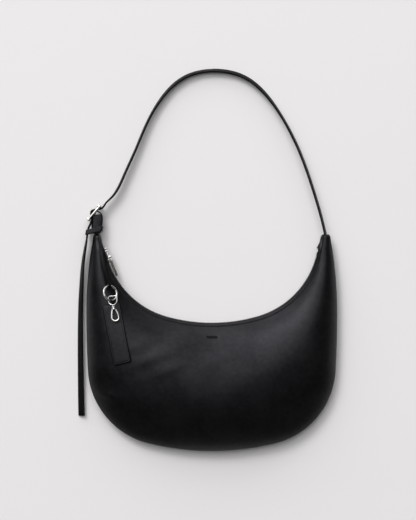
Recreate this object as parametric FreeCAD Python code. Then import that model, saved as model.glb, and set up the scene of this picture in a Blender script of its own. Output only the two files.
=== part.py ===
"""Half moon shoulder bag in soft leather, lying on its back with the front face up.

Millimetres. The origin is on the flat of the back panel, on the middle line, level with the
centres of the two lower corners. +X is to the right, +Y towards the strap, +Z out of the front.
"""
import math
import os

import FreeCAD
import Part
from FreeCAD import Vector

# Body outline, seen from the front
half_width = 176.1
waist_height = 76.7
side_draw_in = 2.0
horn_height = 178.9
horn_draw_in = 8.8
horn_width = 17.4
corner_radius = 111.4
bottom_sag = 7.5
mouth_side_x = 31.63
mouth_rise = 5.6
mouth_sag = 4.5

# Body depth
seam_height = 14.0
lip_half_gap = 9.0
horn_half_depth = 7.0
belly_swell = 32.0
floor_press = 0.6
leather = 1.8
lining = 0.6
soft_gap = 0.3
lip_run_share = 0.06
back_run_share = 0.35
crown_share = 0.42
turn_share = 0.45
section_count = 33
profile_count = 11
lining_u_shares = (0.08, 0.96)
pocket_u_shares = (0.2, 0.72)
pocket_t_shares = (0.36, 0.64)
pocket_section_count = 9

# Zip
zip_start_angle = 10.0
tape_offset = 0.9
tape_thickness = 0.8
tape_edge_gap = 1.2
tooth_pitch = 4.0
tooth_width = 1.7
tooth_depth = 2.2
tooth_reach = 1.0
tooth_seat = 0.1
stop_width = 2.4
end_tab_angle = 4.0
end_tab_half_height = 4.2
end_tab_depth = 3.6
slider_angle = 15.4
slider_half_length = 6.0
slider_half_height = 5.2
slider_plate = 1.2
slider_post = 2.0
post_half_height = 0.8
pull_length = 28.6
pull_width = 4.0
pull_thickness = 1.6
pull_lean = 7.0
pull_eye_radius = 1.9
pull_pin_radius = 0.8
lug_thickness = 1.2
lug_half_length = 1.6
running_gap = 0.05

# Strap, buckle and keeper
strap_width = 10.0
strap_thickness = 2.4
strap_fold_angle = 70.0
strap_reach = 233.5
floor_gap = 0.3
strap_route_shares = (
    (1.000, 0.000), (0.973, 0.102), (0.918, 0.246), (0.851, 0.390), (0.771, 0.534),
    (0.667, 0.677), (0.527, 0.821), (0.284, 0.965), (0.017, 1.000), (-0.225, 0.965),
    (-0.457, 0.821), (-0.579, 0.677), (-0.670, 0.534), (-0.768, 0.390), (-0.890, 0.246),
)
ribbon_steps = 4
buckle_out = 6.1
buckle_rise = 36.4
buckle_angle = 49.5
buckle_length = 24.0
buckle_height = 17.0
buckle_wire_radius = 1.4
buckle_corner_radius = 3.0
buckle_bar_radius = 1.2
weave_out = 5.0
weave_in = 4.5
weave_run = 10.8
weave_lead = 20.0
weave_tail = 19.3
weave_tail_in = 7.1
weave_end = 31.4
weave_end_in = 13.8
prong_radius = 1.0
prong_eye_radius = 2.3
prong_half_width = 1.3
prong_overhang = 2.4
prong_slot_back = 2.6
prong_slot_ahead = 9.4
prong_slot_half_width = 1.5
tab_half_width = 4.5
tab_leather = 1.3
tab_foot_radius = 5.2
tab_foot_out = 0.9
tab_foot_rise = 12.1
keeper_half_length = 13.4
keeper_half_height = 7.0
keeper_width = 7.0
keeper_leather = 1.4
keeper_rise = 16.1
keeper_tilt = 8.0

# Strap tail
tail_drop = 251.8
tail_bow = 8.4
tail_twist = 65.0
tail_land_share = 0.4
tail_route_shares = (
    (0.000, 0.00), (0.120, 0.42), (0.253, 0.75), (0.387, 0.99), (0.520, 1.00),
    (0.654, 0.95), (0.787, 0.94), (0.920, 0.87), (1.000, 0.80),
)

# Fob on the left horn: distances run down the fob from the horn tip
fob_turn = 10.6
fob_slope = 9.5
fob_clear = 9.5
fob_start = 12.0
lace_width = 5.0
lace_leather = 1.0
lace_neck_radius = 1.4
lace_neck_hole = 0.4
ring_distance = 77.0
ring_radius = 9.6
ring_wire_radius = 1.3
ring_lift = 6.2
loop_gap = 0.95
tag_start = 92.5
tag_length = 83.3
tag_width = 24.0
tag_thickness = 2.4
tag_corner_radius = 3.0
tag_loop_width = 4.0
tag_loop_leather = 1.0
tag_loop_shift = 0.6
eye_shift = 0.6
eye_half_width = 6.3
eye_top = 81.8
eye_straight = 5.6
eye_corner_radius = 2.4
eye_wire_radius = 1.0
eye_roll = 29.0
swivel_radius = 2.2
swivel_length = 4.4
hook_half_width = 5.2
hook_wire_radius = 1.5
hook_length = 15.0
hook_shoulder_radius = 2.4
hook_tip_share = 0.35
gate_radius = 1.1
gate_pin_radius = 0.6
gate_knuckle_radius = 1.5
gate_half_width = 0.7

# One overrun serves every cut
overrun = 1.0

Z_AXIS = Vector(0, 0, 1)
X_AXIS = Vector(1, 0, 0)
Y_AXIS = Vector(0, 1, 0)
ORIGIN = Vector(0, 0, 0)


def ease(share):
    """Smooth step from 0 to 1."""
    share = min(max(share, 0.0), 1.0)
    return share * share * (3.0 - 2.0 * share)


def polar(centre, radius, angle):
    """Point on a circle in the XY plane, angle in radians."""
    return centre + Vector(radius * math.cos(angle), radius * math.sin(angle), 0)


def mirrored(point):
    return Vector(-point.x, point.y, point.z)


# Outline of the right half: arcs as (centre, radius, first angle, last angle), horn to bottom
corner_centre = Vector(half_width - side_draw_in - corner_radius, 0, 0)
lower_side_radius = (
    2 * corner_radius * side_draw_in + side_draw_in ** 2 + waist_height ** 2
) / (2 * side_draw_in)
upper_run = horn_height - waist_height
upper_side_radius = (upper_run ** 2 + horn_draw_in ** 2) / (2 * horn_draw_in)
bottom_radius = (
    corner_centre.x ** 2 + 2 * corner_radius * bottom_sag + bottom_sag ** 2
) / (2 * bottom_sag)
bag_drop = corner_radius + bottom_sag

upper_centre = Vector(half_width - upper_side_radius, waist_height, 0)
lower_centre = Vector(half_width - lower_side_radius, waist_height, 0)
bottom_centre = Vector(0, bottom_radius - bag_drop, 0)
side_angle = math.atan2(-waist_height, corner_centre.x - lower_centre.x)
corner_angle = math.atan2(-bottom_centre.y, corner_centre.x)
outer_arcs = (
    (upper_centre, upper_side_radius, math.asin(upper_run / upper_side_radius), 0.0),
    (lower_centre, lower_side_radius, 0.0, side_angle),
    (corner_centre, corner_radius, side_angle, corner_angle),
    (bottom_centre, bottom_radius, corner_angle, -math.pi / 2),
)

horn_outer_x = half_width - horn_draw_in
horn_x = horn_outer_x - horn_width / 2
horn_tip_radius = horn_width / 2
mouth_side_height = horn_height + mouth_rise
mouth_side_radius = math.hypot(horn_outer_x - horn_width - mouth_side_x, mouth_rise)
mouth_bottom_radius = (
    2 * mouth_side_radius * mouth_sag + mouth_sag ** 2 + mouth_side_x ** 2
) / (2 * mouth_sag)
mouth_depth = mouth_side_radius + mouth_sag
mouth_side_centre = Vector(mouth_side_x, mouth_side_height, 0)
mouth_bottom_centre = Vector(0, mouth_side_height - mouth_depth + mouth_bottom_radius, 0)
mouth_turn_angle = math.atan2(mouth_side_height - mouth_bottom_centre.y, mouth_side_x)
mouth_arcs = (
    (mouth_side_centre, mouth_side_radius, -math.asin(mouth_rise / mouth_side_radius), mouth_turn_angle),
    (mouth_bottom_centre, mouth_bottom_radius, mouth_turn_angle, -math.pi / 2),
)


def point_along(arcs, share):
    """Point at a share of the length of a chain of arcs."""
    lengths = [radius * abs(last - first) for _, radius, first, last in arcs]
    distance = share * sum(lengths)
    for (centre, radius, first, last), length in zip(arcs, lengths):
        if distance <= length or (centre, radius, first, last) == arcs[-1]:
            return polar(centre, radius, first + (last - first) * min(distance / length, 1.0))
        distance -= length


def edge_points(t):
    """Mouth point, rim point and distance from the horn (0 to 1) at t, left horn to right horn."""
    q = min(2.0 * t, 2.0 - 2.0 * t)
    mouth = point_along(mouth_arcs, q)
    rim = point_along(outer_arcs, q)
    if t < 0.5:
        return mirrored(mouth), mirrored(rim), q
    return mouth, rim, q


def lip_depth(q):
    return horn_half_depth + (lip_half_gap - horn_half_depth) * ease(q / lip_run_share)


def crown_depth(q, side):
    """Depth of the panel's crown from the seam plane, front (side 1) or back (side -1)."""
    if side > 0:
        return lip_depth(q) + belly_swell * math.sin(math.pi * q / 2)
    return lip_depth(q) + (seam_height + floor_press - lip_half_gap) * ease(q / back_run_share)


def body_point(t, u, side, inset):
    """Point on the panel, u from the lip (0) over the crown to the rim seam (1)."""
    mouth, rim, q = edge_points(t)
    across = rim - mouth
    crown_run = crown_share * across.Length
    rim_run = across.Length - inset
    lip = lip_depth(q) - inset
    crown = crown_depth(q, side) - inset
    seam = soft_gap / 2
    if u < turn_share:
        x = 1.0 - u / turn_share
        run = crown_run * (1.0 - x)
        depth = crown - (crown - lip) * x * x
    else:
        turn = (u - turn_share) / (1.0 - turn_share) * math.pi / 2
        run = crown_run + (rim_run - crown_run) * math.sin(turn)
        depth = seam + (crown - seam) * math.cos(turn)
    point = mouth + across * (run / across.Length)
    return Vector(point.x, point.y, seam_height + side * depth)


def spread(first, last, count):
    return [first + (last - first) * k / (count - 1) for k in range(count)]


def body_skin(side, inset, t_values, u_values):
    surface = Part.BSplineSurface()
    surface.interpolate([[body_point(t, u, side, inset) for u in u_values] for t in t_values])
    return surface


def solid_from_faces(faces):
    shell = Part.makeShell(faces)
    shell.sewShape()
    solid = Part.makeSolid(shell)
    if solid.Volume < 0:
        solid.reverse()
    return solid


def body_wall(side, inset, thickness, t_values, u_values):
    """Closed wall that follows the body between two insets."""
    outer = body_skin(side, inset, t_values, u_values)
    inner = body_skin(side, inset + thickness, t_values, u_values)
    first_u, last_u, first_v, last_v = outer.bounds()
    in_first_u, in_last_u, in_first_v, in_last_v = inner.bounds()
    faces = [outer.toShape(), inner.toShape()]
    pairs = (
        (outer.uIso(first_u), inner.uIso(in_first_u)),
        (outer.uIso(last_u), inner.uIso(in_last_u)),
        (outer.vIso(first_v), inner.vIso(in_first_v)),
        (outer.vIso(last_v), inner.vIso(in_last_v)),
    )
    for curve, facing in pairs:
        faces.append(Part.makeRuledSurface(curve.toShape(), facing.toShape()))
    return solid_from_faces(faces)


def front_panel():
    return body_wall(1, 0, leather, spread(0, 1, section_count), spread(0, 1, profile_count))


def back_panel():
    """Back panel, pressed flat where it lies on the floor."""
    panel = body_wall(-1, 0, leather, spread(0, 1, section_count), spread(0, 1, profile_count))
    below = Part.makeBox(2 * half_width, horn_height + bag_drop, overrun + floor_press)
    below.translate(Vector(-half_width, -bag_drop, -overrun - floor_press))
    return panel.cut(below)


def lining_wall(side):
    inset = leather + soft_gap
    u_values = spread(lining_u_shares[0], lining_u_shares[1], profile_count)
    return body_wall(side, inset, lining, spread(0, 1, section_count), u_values)


def slip_pocket():
    """Flat pocket sewn to the back lining."""
    inset = leather + lining + 2 * soft_gap
    t_values = spread(pocket_t_shares[0], pocket_t_shares[1], pocket_section_count)
    u_values = spread(pocket_u_shares[0], pocket_u_shares[1], profile_count)
    return body_wall(-1, inset, lining, t_values, u_values)


def horn_tip(sign):
    """Rounded leather end that closes a horn and carries the strap."""
    centre = Vector(sign * horn_x, horn_height, seam_height)
    ball = Part.makeSphere(horn_tip_radius, centre)
    keep = Part.makeBox(2 * horn_tip_radius, horn_tip_radius, 2 * horn_half_depth)
    keep.translate(centre + Vector(-horn_tip_radius, soft_gap, -horn_half_depth))
    return ball.common(keep)


# Zip path: the mouth's two side arcs and its bottom arc, moved into the bag
start_angle = -math.radians(zip_start_angle)


def mouth_band(first_offset, last_offset, low, high):
    """Upright band along the mouth, between two offsets and two heights."""
    wires = []
    for offset in (first_offset, last_offset):
        side = mouth_side_radius + offset
        bottom = mouth_bottom_radius + offset
        right = [polar(mouth_side_centre, side, a) for a in spread(start_angle, mouth_turn_angle, 3)]
        low_point = polar(mouth_bottom_centre, bottom, -math.pi / 2)
        left = [mirrored(point) for point in reversed(right)]
        wires.append((right, low_point, left))
    edges = []
    for right, low_point, left in wires:
        edges.append(Part.Arc(*right).toShape())
        edges.append(Part.Arc(right[-1], low_point, left[0]).toShape())
        edges.append(Part.Arc(*left).toShape())
    edges.append(Part.LineSegment(wires[0][0][0], wires[1][0][0]).toShape())
    edges.append(Part.LineSegment(wires[0][2][-1], wires[1][2][-1]).toShape())
    wire = Part.Wire(Part.__sortEdges__(edges))
    face = Part.Face(wire)
    face.translate(Vector(0, 0, low))
    return face.extrude(Vector(0, 0, high - low))


tape_top = lip_half_gap - leather - soft_gap


def zip_tape(side):
    near = seam_height + side * tape_edge_gap
    far = seam_height + side * tape_top
    half = tape_thickness / 2
    return mouth_band(tape_offset - half, tape_offset + half, min(near, far), max(near, far))


side_length = (mouth_side_radius + tape_offset) * abs(mouth_turn_angle - start_angle)
bottom_length = (mouth_bottom_radius + tape_offset) * 2 * (mouth_turn_angle + math.pi / 2)
zip_length = 2 * side_length + bottom_length


def zip_place(distance):
    """Point and outward angle on the zip's line, at a distance from its left end."""
    side = mouth_side_radius + tape_offset
    bottom = mouth_bottom_radius + tape_offset
    if distance < side_length:
        angle = math.pi - start_angle + distance / side
        return polar(mirrored(mouth_side_centre), side, angle), angle
    if distance < side_length + bottom_length:
        angle = math.pi - mouth_turn_angle + (distance - side_length) / bottom
        return polar(mouth_bottom_centre, bottom, angle), angle
    angle = start_angle - (zip_length - distance) / side
    return polar(mouth_side_centre, side, angle), angle


def zip_block(distance, width, low, high):
    """Small block on the zip's line."""
    block = Part.makeBox(tooth_depth, width, high - low)
    block.translate(Vector(-tooth_depth / 2, -width / 2, low))
    place, angle = zip_place(distance)
    block.rotate(ORIGIN, Z_AXIS, math.degrees(angle))
    block.translate(place)
    return block


slider_distance = (mouth_side_radius + tape_offset) * math.radians(slider_angle - zip_start_angle)


def zip_teeth(side):
    """One row of teeth, left out inside the slider."""
    near = seam_height + side * (tape_edge_gap - tooth_seat)
    far = seam_height - side * tooth_reach
    first = stop_width + tooth_pitch * (1.0 if side > 0 else 1.5)
    count = int((zip_length - 2 * stop_width - 2 * tooth_pitch) / tooth_pitch)
    teeth = []
    for k in range(count):
        distance = first + k * tooth_pitch
        if abs(distance - slider_distance) > slider_half_length + tooth_width:
            teeth.append(zip_block(distance, tooth_width, min(near, far), max(near, far)))
    return Part.makeCompound(teeth)


def zip_stops():
    half = tape_edge_gap - tooth_seat
    places = (stop_width, zip_length - stop_width)
    return Part.makeCompound(
        [zip_block(place, stop_width, seam_height - half, seam_height + half) for place in places]
    )


def zip_end_tab(sign):
    """Leather tab across the end of the zip, between the two lips."""
    inner = mouth_side_radius - tape_offset
    outer = inner + end_tab_depth
    first = -math.radians(end_tab_angle)
    gap = soft_gap / inner
    angles = spread(first, start_angle + gap, 3)
    near = [polar(mouth_side_centre, inner, a) for a in angles]
    far = [polar(mouth_side_centre, outer, a) for a in angles]
    edges = [
        Part.Arc(*near).toShape(),
        Part.LineSegment(near[-1], far[-1]).toShape(),
        Part.Arc(*far).toShape(),
        Part.LineSegment(near[0], far[0]).toShape(),
    ]
    face = Part.Face(Part.Wire(Part.__sortEdges__(edges)))
    face.translate(Vector(0, 0, seam_height - end_tab_half_height))
    tab = face.extrude(Vector(0, 0, 2 * end_tab_half_height))
    if sign < 0:
        tab = tab.mirror(ORIGIN, X_AXIS)
    return tab


# Slider, in its own frame: X away from the hollow, Y along the zip, Z along the strap's width
slider_turn = 180.0 + slider_angle
slider_centre = polar(
    mirrored(mouth_side_centre), mouth_side_radius + tape_offset, math.radians(slider_turn)
) + Vector(0, 0, seam_height)
plate_gap = tooth_depth / 2 + soft_gap
pin_offset = plate_gap + slider_plate + soft_gap + pull_eye_radius


def place_slider(shape):
    shape.rotate(ORIGIN, Z_AXIS, slider_turn)
    shape.translate(slider_centre)
    return shape


def centred_box(size_x, size_y, size_z, centre):
    box = Part.makeBox(size_x, size_y, size_z)
    box.translate(centre - Vector(size_x / 2, size_y / 2, size_z / 2))
    return box


def zip_slider():
    """Two plates joined by a post, with two lugs and a pin for the pull."""
    plate_middle = plate_gap + slider_plate / 2
    length = 2 * slider_half_length
    height = 2 * slider_half_height
    slider = centred_box(slider_plate, length, height, Vector(-plate_middle, 0, 0))
    inner = centred_box(slider_plate, length, height, Vector(plate_middle, 0, 0))
    post_y = slider_half_length - slider_post
    post = centred_box(2 * plate_gap, slider_post, 2 * post_half_height, Vector(0, post_y, 0))
    slider = slider.fuse([inner, post])
    lug_depth = pin_offset + pull_eye_radius - plate_gap
    lug_x = -plate_gap - lug_depth / 2
    lug_z = pull_width / 2 + soft_gap + lug_thickness / 2
    for side in (-1, 1):
        lug = centred_box(lug_depth, 2 * lug_half_length, lug_thickness, Vector(lug_x, 0, side * lug_z))
        slider = slider.fuse(lug)
    pin = Part.makeCylinder(pull_pin_radius, 2 * lug_z, Vector(-pin_offset, 0, -lug_z), Z_AXIS)
    return place_slider(slider.fuse(pin).removeSplitter())


def zip_pull():
    """Long slim pull that lies along the mouth."""
    half = pull_width / 2
    low = Vector(0, 0, -half)
    eye = Part.makeCylinder(pull_eye_radius, pull_width, low, Z_AXIS)
    bar = Part.makeBox(pull_thickness, pull_length - half, pull_width)
    bar.translate(Vector(-pull_thickness / 2, 0, -half))
    end_start = Vector(-pull_thickness / 2, pull_length - half, 0)
    end = Part.makeCylinder(half, pull_thickness, end_start, X_AXIS)
    hole = Part.makeCylinder(pull_pin_radius + running_gap, pull_width, low, Z_AXIS)
    pull = eye.fuse([bar, end]).cut(hole).removeSplitter()
    pull.rotate(ORIGIN, Z_AXIS, pull_lean)
    pull.translate(Vector(-pin_offset, 0, 0))
    return place_slider(pull)


# Strap, drawn level with the seam plane and then let down until it lies on the floor
strap_droop = math.degrees(math.asin((seam_height - strap_width / 2 - floor_gap) / strap_reach))
fold_centre = Vector(0, horn_height, seam_height)
buckle_centre = Vector(-horn_x - buckle_out, horn_height + buckle_rise, seam_height)
along = Vector(math.cos(math.radians(buckle_angle)), math.sin(math.radians(buckle_angle)), 0)
outward = Vector(-along.y, along.x, 0)


def let_down(shape):
    shape.rotate(fold_centre, X_AXIS, -strap_droop)
    return shape


def at_buckle(run, out):
    """Point in the buckle's plane of bending, level with the seam plane."""
    return buckle_centre + along * run + outward * out


def tail_pivot():
    """Where the tail bends away from the strap, below the keeper."""
    return at_buckle(-weave_end, -weave_end_in)


def strap_points():
    points = [
        Vector(x_share * horn_x, horn_height + y_share * strap_reach, seam_height)
        for x_share, y_share in strap_route_shares
    ]
    points.append(at_buckle(weave_lead, -weave_in))
    points.append(at_buckle(weave_run, -weave_in))
    points.append(at_buckle(0, weave_out))
    points.append(at_buckle(-weave_run, -weave_in))
    points.append(at_buckle(-weave_tail, -weave_tail_in))
    points.append(tail_pivot())
    return points


def ribbon(points, thickness, width):
    """Flat strap on edge along a smooth line of points."""
    curve = Part.BSplineCurve()
    curve.interpolate(points)
    knots = curve.getKnots()
    params = [knots[0]]
    for first, last in zip(knots, knots[1:]):
        params += spread(first, last, ribbon_steps + 1)[1:]
    sides = ([], [])
    for param in params:
        point = curve.value(param)
        tangent = curve.tangent(param)[0]
        normal = Vector(-tangent.y, tangent.x, 0)
        sides[0].append(point + normal * (thickness / 2))
        sides[1].append(point - normal * (thickness / 2))
    edges = []
    for side in sides:
        line = Part.BSplineCurve()
        line.interpolate(side)
        edges.append(line.toShape())
    edges.append(Part.LineSegment(sides[0][0], sides[1][0]).toShape())
    edges.append(Part.LineSegment(sides[0][-1], sides[1][-1]).toShape())
    face = Part.Face(Part.Wire(Part.__sortEdges__(edges)))
    face.translate(Vector(0, 0, -width / 2))
    return face.extrude(Vector(0, 0, width))


def tip_clearance(sign):
    return Part.makeSphere(horn_tip_radius + soft_gap, Vector(sign * horn_x, horn_height, seam_height))


def turn_to_buckle(shape):
    """From a frame with X along the buckle and Y outward to its place."""
    shape.rotate(ORIGIN, Z_AXIS, buckle_angle)
    shape.translate(buckle_centre)
    return shape


def tail_room():
    """Room for the tail's rounded end, at rest and with the strap folded up."""
    radius = strap_width / 2 + soft_gap
    reach = strap_width
    pivot = tail_pivot()
    corner = pivot - Vector(reach / 2, 0, 0)
    bend = Part.makeCylinder(radius, reach, corner, X_AXIS)
    folded = Part.makeBox(reach, reach, 2 * radius)
    folded.translate(corner - Vector(0, reach, radius))
    folded.rotate(pivot, X_AXIS, -strap_fold_angle)
    return [bend, folded]


def strap_band():
    """Strap from the right horn over the arch and through the buckle, with the prong's slot."""
    band = ribbon(strap_points(), strap_thickness, strap_width)
    slot_length = prong_slot_back + prong_slot_ahead
    slot = Part.makeBox(slot_length, 2 * weave_run, 2 * prong_slot_half_width)
    slot.translate(Vector(-prong_slot_back, -weave_run, -prong_slot_half_width))
    return let_down(band.cut([tip_clearance(1), turn_to_buckle(slot)] + tail_room()))


def rounded_path(length, height, radius):
    """Closed rounded rectangle in the XZ plane, about the origin."""
    x = length / 2
    z = height / 2
    bend = radius * (1.0 - math.sqrt(0.5))
    edges = []
    for sx, sz in ((1, 1), (-1, 1), (-1, -1), (1, -1)):
        across = Vector(sx * (x - radius), 0, sz * z)
        middle = Vector(sx * (x - bend), 0, sz * (z - bend))
        upright = Vector(sx * x, 0, sz * (z - radius))
        edges.append(Part.Arc(across, middle, upright).toShape())
    for sign in (1, -1):
        top = [Vector(side * (x - radius), 0, sign * z) for side in (-1, 1)]
        upright = [Vector(sign * x, 0, side * (z - radius)) for side in (-1, 1)]
        edges.append(Part.LineSegment(*top).toShape())
        edges.append(Part.LineSegment(*upright).toShape())
    return Part.Wire(Part.__sortEdges__(edges))


def wire_along(path, radius):
    """Round wire along a path of tangent lines and arcs."""
    edge = path.OrderedEdges[0]
    start = edge.valueAt(edge.FirstParameter)
    tangent = edge.tangentAt(edge.FirstParameter)
    circle = Part.Wire(Part.makeCircle(radius, start, tangent))
    return path.makePipeShell([circle], True, False)


def buckle_frame():
    """Rounded frame with a bar across its middle."""
    length = buckle_length - 2 * buckle_wire_radius
    height = buckle_height - 2 * buckle_wire_radius
    frame = wire_along(rounded_path(length, height, buckle_corner_radius), buckle_wire_radius)
    bar = Part.makeCylinder(buckle_bar_radius, height, Vector(0, 0, -height / 2), Z_AXIS)
    return let_down(turn_to_buckle(frame.fuse(bar)))


def buckle_prong():
    """Prong that turns on the bar, goes through the strap and rests on the frame's far end."""
    width = 2 * prong_half_width
    low = Vector(0, 0, -prong_half_width)
    far_run = buckle_length / 2 - buckle_wire_radius
    far_out = buckle_wire_radius + prong_radius + soft_gap
    near_out = prong_eye_radius - prong_radius
    slope = Vector(far_run, far_out - near_out, 0).normalize()
    start = Vector(0, near_out, 0)
    shank_length = far_run / slope.x + prong_overhang
    eye = Part.makeCylinder(prong_eye_radius, width, low, Z_AXIS)
    shank = Part.makeCylinder(prong_radius, shank_length, start, slope)
    tip = Part.makeSphere(prong_radius, start + slope * shank_length)
    hole = Part.makeCylinder(buckle_bar_radius + running_gap, width, low, Z_AXIS)
    return let_down(turn_to_buckle(eye.fuse([shank, tip]).cut(hole)))


def hull_face(first, first_radius, second, second_radius):
    """Face round two circles in the XY plane."""
    apart = second - first
    base = math.atan2(apart.y, apart.x)
    lean = math.acos((first_radius - second_radius) / apart.Length)
    first_ends = [polar(first, first_radius, base + side * lean) for side in (1, -1)]
    second_ends = [polar(second, second_radius, base + side * lean) for side in (1, -1)]
    first_far = polar(first, first_radius, base + math.pi)
    second_far = polar(second, second_radius, base)
    edges = [
        Part.Arc(first_ends[0], first_far, first_ends[1]).toShape(),
        Part.LineSegment(first_ends[1], second_ends[1]).toShape(),
        Part.Arc(second_ends[1], second_far, second_ends[0]).toShape(),
        Part.LineSegment(second_ends[0], first_ends[0]).toShape(),
    ]
    return Part.Face(Part.Wire(edges))


def strap_loop(first, first_hole, second, second_hole, thickness, width):
    """Leather loop round two pins, centred on the XY plane."""
    outside = hull_face(first, first_hole + thickness, second, second_hole + thickness)
    inside = hull_face(first, first_hole, second, second_hole)
    lift = Vector(0, 0, -width / 2)
    rise = Vector(0, 0, width)
    outside.translate(lift)
    inside.translate(lift)
    return outside.extrude(rise).cut(inside.extrude(rise))


def buckle_tab():
    """Leather loop from the left horn round the buckle's bar, slotted for the prong."""
    foot = Vector(-horn_x - tab_foot_out, horn_height + tab_foot_rise, seam_height)
    bar_hole = buckle_bar_radius + soft_gap
    foot_hole = tab_foot_radius - tab_leather
    tab = strap_loop(buckle_centre, bar_hole, foot, foot_hole, tab_leather, 2 * tab_half_width)
    slot_half = prong_half_width + soft_gap
    slot_radius = bar_hole + tab_leather + overrun
    slot = Part.makeCylinder(
        slot_radius, 2 * slot_half, buckle_centre - Vector(0, 0, slot_half), Z_AXIS
    )
    return let_down(tab.cut([tip_clearance(-1), slot]))


def strap_keeper():
    """Leather band round the tab and the tail."""
    length = 2 * keeper_half_length
    height = 2 * keeper_half_height
    wall = 2 * keeper_leather
    band = centred_box(length, keeper_width, height, ORIGIN)
    hole = centred_box(length - wall, keeper_width + overrun, height - wall, ORIGIN)
    keeper = band.cut(hole)
    keeper.rotate(ORIGIN, Z_AXIS, keeper_tilt)
    keeper.translate(Vector(buckle_centre.x, horn_height + keeper_rise, seam_height))
    return let_down(keeper)


def tail_start():
    """Middle of the tail's rounded upper end, on the let-down strap."""
    return let_down(Part.Vertex(tail_pivot())).Point


def tail_section(index):
    """Rectangle across the tail, turned by its twist."""
    down, bow = tail_route_shares[index]
    twist = math.radians(tail_twist) * ease(down)
    half_width_here = strap_width / 2
    half_thick = strap_thickness / 2
    start = tail_start()
    rest = floor_gap + half_width_here * math.cos(twist) + half_thick * math.sin(twist)
    height = start.z + (rest - start.z) * ease(down / tail_land_share)
    middle = Vector(start.x - tail_bow * bow, start.y - tail_drop * down, height)
    wide = Vector(math.sin(twist), 0, math.cos(twist)) * half_width_here
    thick = Vector(math.cos(twist), 0, -math.sin(twist)) * half_thick
    corners = [middle + wide + thick, middle + wide - thick, middle - wide - thick, middle - wide + thick]
    return Part.makePolygon(corners + corners[:1])


def strap_tail():
    """Free end of the strap, which twists flat as it comes down to the floor."""
    length = Part.makeLoft([tail_section(k) for k in range(len(tail_route_shares))], True, False)
    side = X_AXIS * (strap_thickness / 2)
    end = Part.makeCylinder(strap_width / 2, strap_thickness, tail_start() - side, X_AXIS)
    return length.fuse(end)


# Fob frame: X across, -Y down the fob, Z away from the bag
fob_base = Vector(-horn_x, horn_height, seam_height + fob_clear)


def place_fob(shape):
    shape.rotate(ORIGIN, X_AXIS, -fob_slope)
    shape.rotate(ORIGIN, Z_AXIS, fob_turn)
    shape.translate(fob_base)
    return shape


ring_centre = Vector(0, -ring_distance, ring_lift)


def upright_loop(shape, shift):
    """Turn a loop drawn in XY so that it stands in the fob's YZ plane."""
    shape.rotate(ORIGIN, X_AXIS, 90.0)
    shape.rotate(ORIGIN, Z_AXIS, 90.0)
    shape.translate(Vector(shift, 0, 0))
    return shape


def fob_lace():
    """Doubled leather lace from the neck to the top of the ring."""
    neck = Vector(-fob_start, lace_neck_radius, 0)
    ring_top = Vector(-ring_distance + ring_radius, ring_lift, 0)
    ring_hole = ring_wire_radius + loop_gap
    lace = strap_loop(neck, lace_neck_hole, ring_top, ring_hole, lace_leather, lace_width)
    return place_fob(upright_loop(lace, 0))


def fob_ring():
    return place_fob(Part.makeTorus(ring_radius, ring_wire_radius, ring_centre, Z_AXIS))


def tag_strip():
    """Leather strip with rounded corners."""
    corner = tag_corner_radius
    strip = Part.makeBox(tag_width, tag_length, tag_thickness)
    uprights = [edge for edge in strip.Edges if abs(edge.tangentAt(edge.FirstParameter).z) > 0.5]
    strip = strip.makeFillet(corner, uprights)
    strip.translate(Vector(-tag_width / 2, -tag_start - tag_length, 0))
    return place_fob(strip)


def tag_loop():
    """Small loop that holds the tag on the ring."""
    ring_low = Vector(-ring_distance - ring_radius, ring_lift, 0)
    tag_end = Vector(-tag_start + soft_gap + tag_thickness / 2, tag_thickness / 2, 0)
    ring_hole = ring_wire_radius + loop_gap
    end_hole = tag_thickness / 2 - tag_loop_leather
    loop = strap_loop(ring_low, ring_hole, tag_end, end_hole, tag_loop_leather, tag_loop_width)
    return place_fob(upright_loop(loop, tag_loop_shift))


def eye_path():
    """D shape: a straight bar at the top and a half round below, in the XY plane."""
    w = eye_half_width
    r = eye_corner_radius
    bend = r * (1.0 - math.sqrt(0.5))
    low = -eye_straight
    corners = []
    for s in (-1, 1):
        corners.append(Part.Arc(
            Vector(s * (w - r), 0, 0), Vector(s * (w - bend), -bend, 0), Vector(s * w, -r, 0)
        ).toShape())
        corners.append(Part.LineSegment(Vector(s * w, -r, 0), Vector(s * w, low, 0)).toShape())
    round_end = Part.Arc(Vector(-w, low, 0), Vector(0, low - w, 0), Vector(w, low, 0)).toShape()
    bar = Part.LineSegment(Vector(-(w - r), 0, 0), Vector(w - r, 0, 0)).toShape()
    return Part.Wire(Part.__sortEdges__(corners + [round_end, bar]))


eye_bottom = eye_top + eye_straight + eye_half_width


def hook_eye():
    """Eye of the snap hook, turned so that it passes over and under the ring."""
    eye = wire_along(eye_path(), eye_wire_radius)
    eye.rotate(ORIGIN, Y_AXIS, eye_roll)
    eye.translate(Vector(eye_shift, -eye_top, ring_lift))
    return place_fob(eye)


hook_start = eye_bottom + eye_wire_radius + soft_gap
hook_low = hook_start + swivel_length + hook_length


def hook_centre():
    return Vector(eye_shift, -hook_low + hook_half_width, ring_lift)


hook_tip_angle = hook_tip_share * math.pi / 2


def gate_pivot():
    """Where the open hook ends and the gate turns."""
    w = hook_half_width
    return hook_centre() + Vector(w * math.cos(hook_tip_angle), -w * math.sin(hook_tip_angle), 0)


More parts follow.
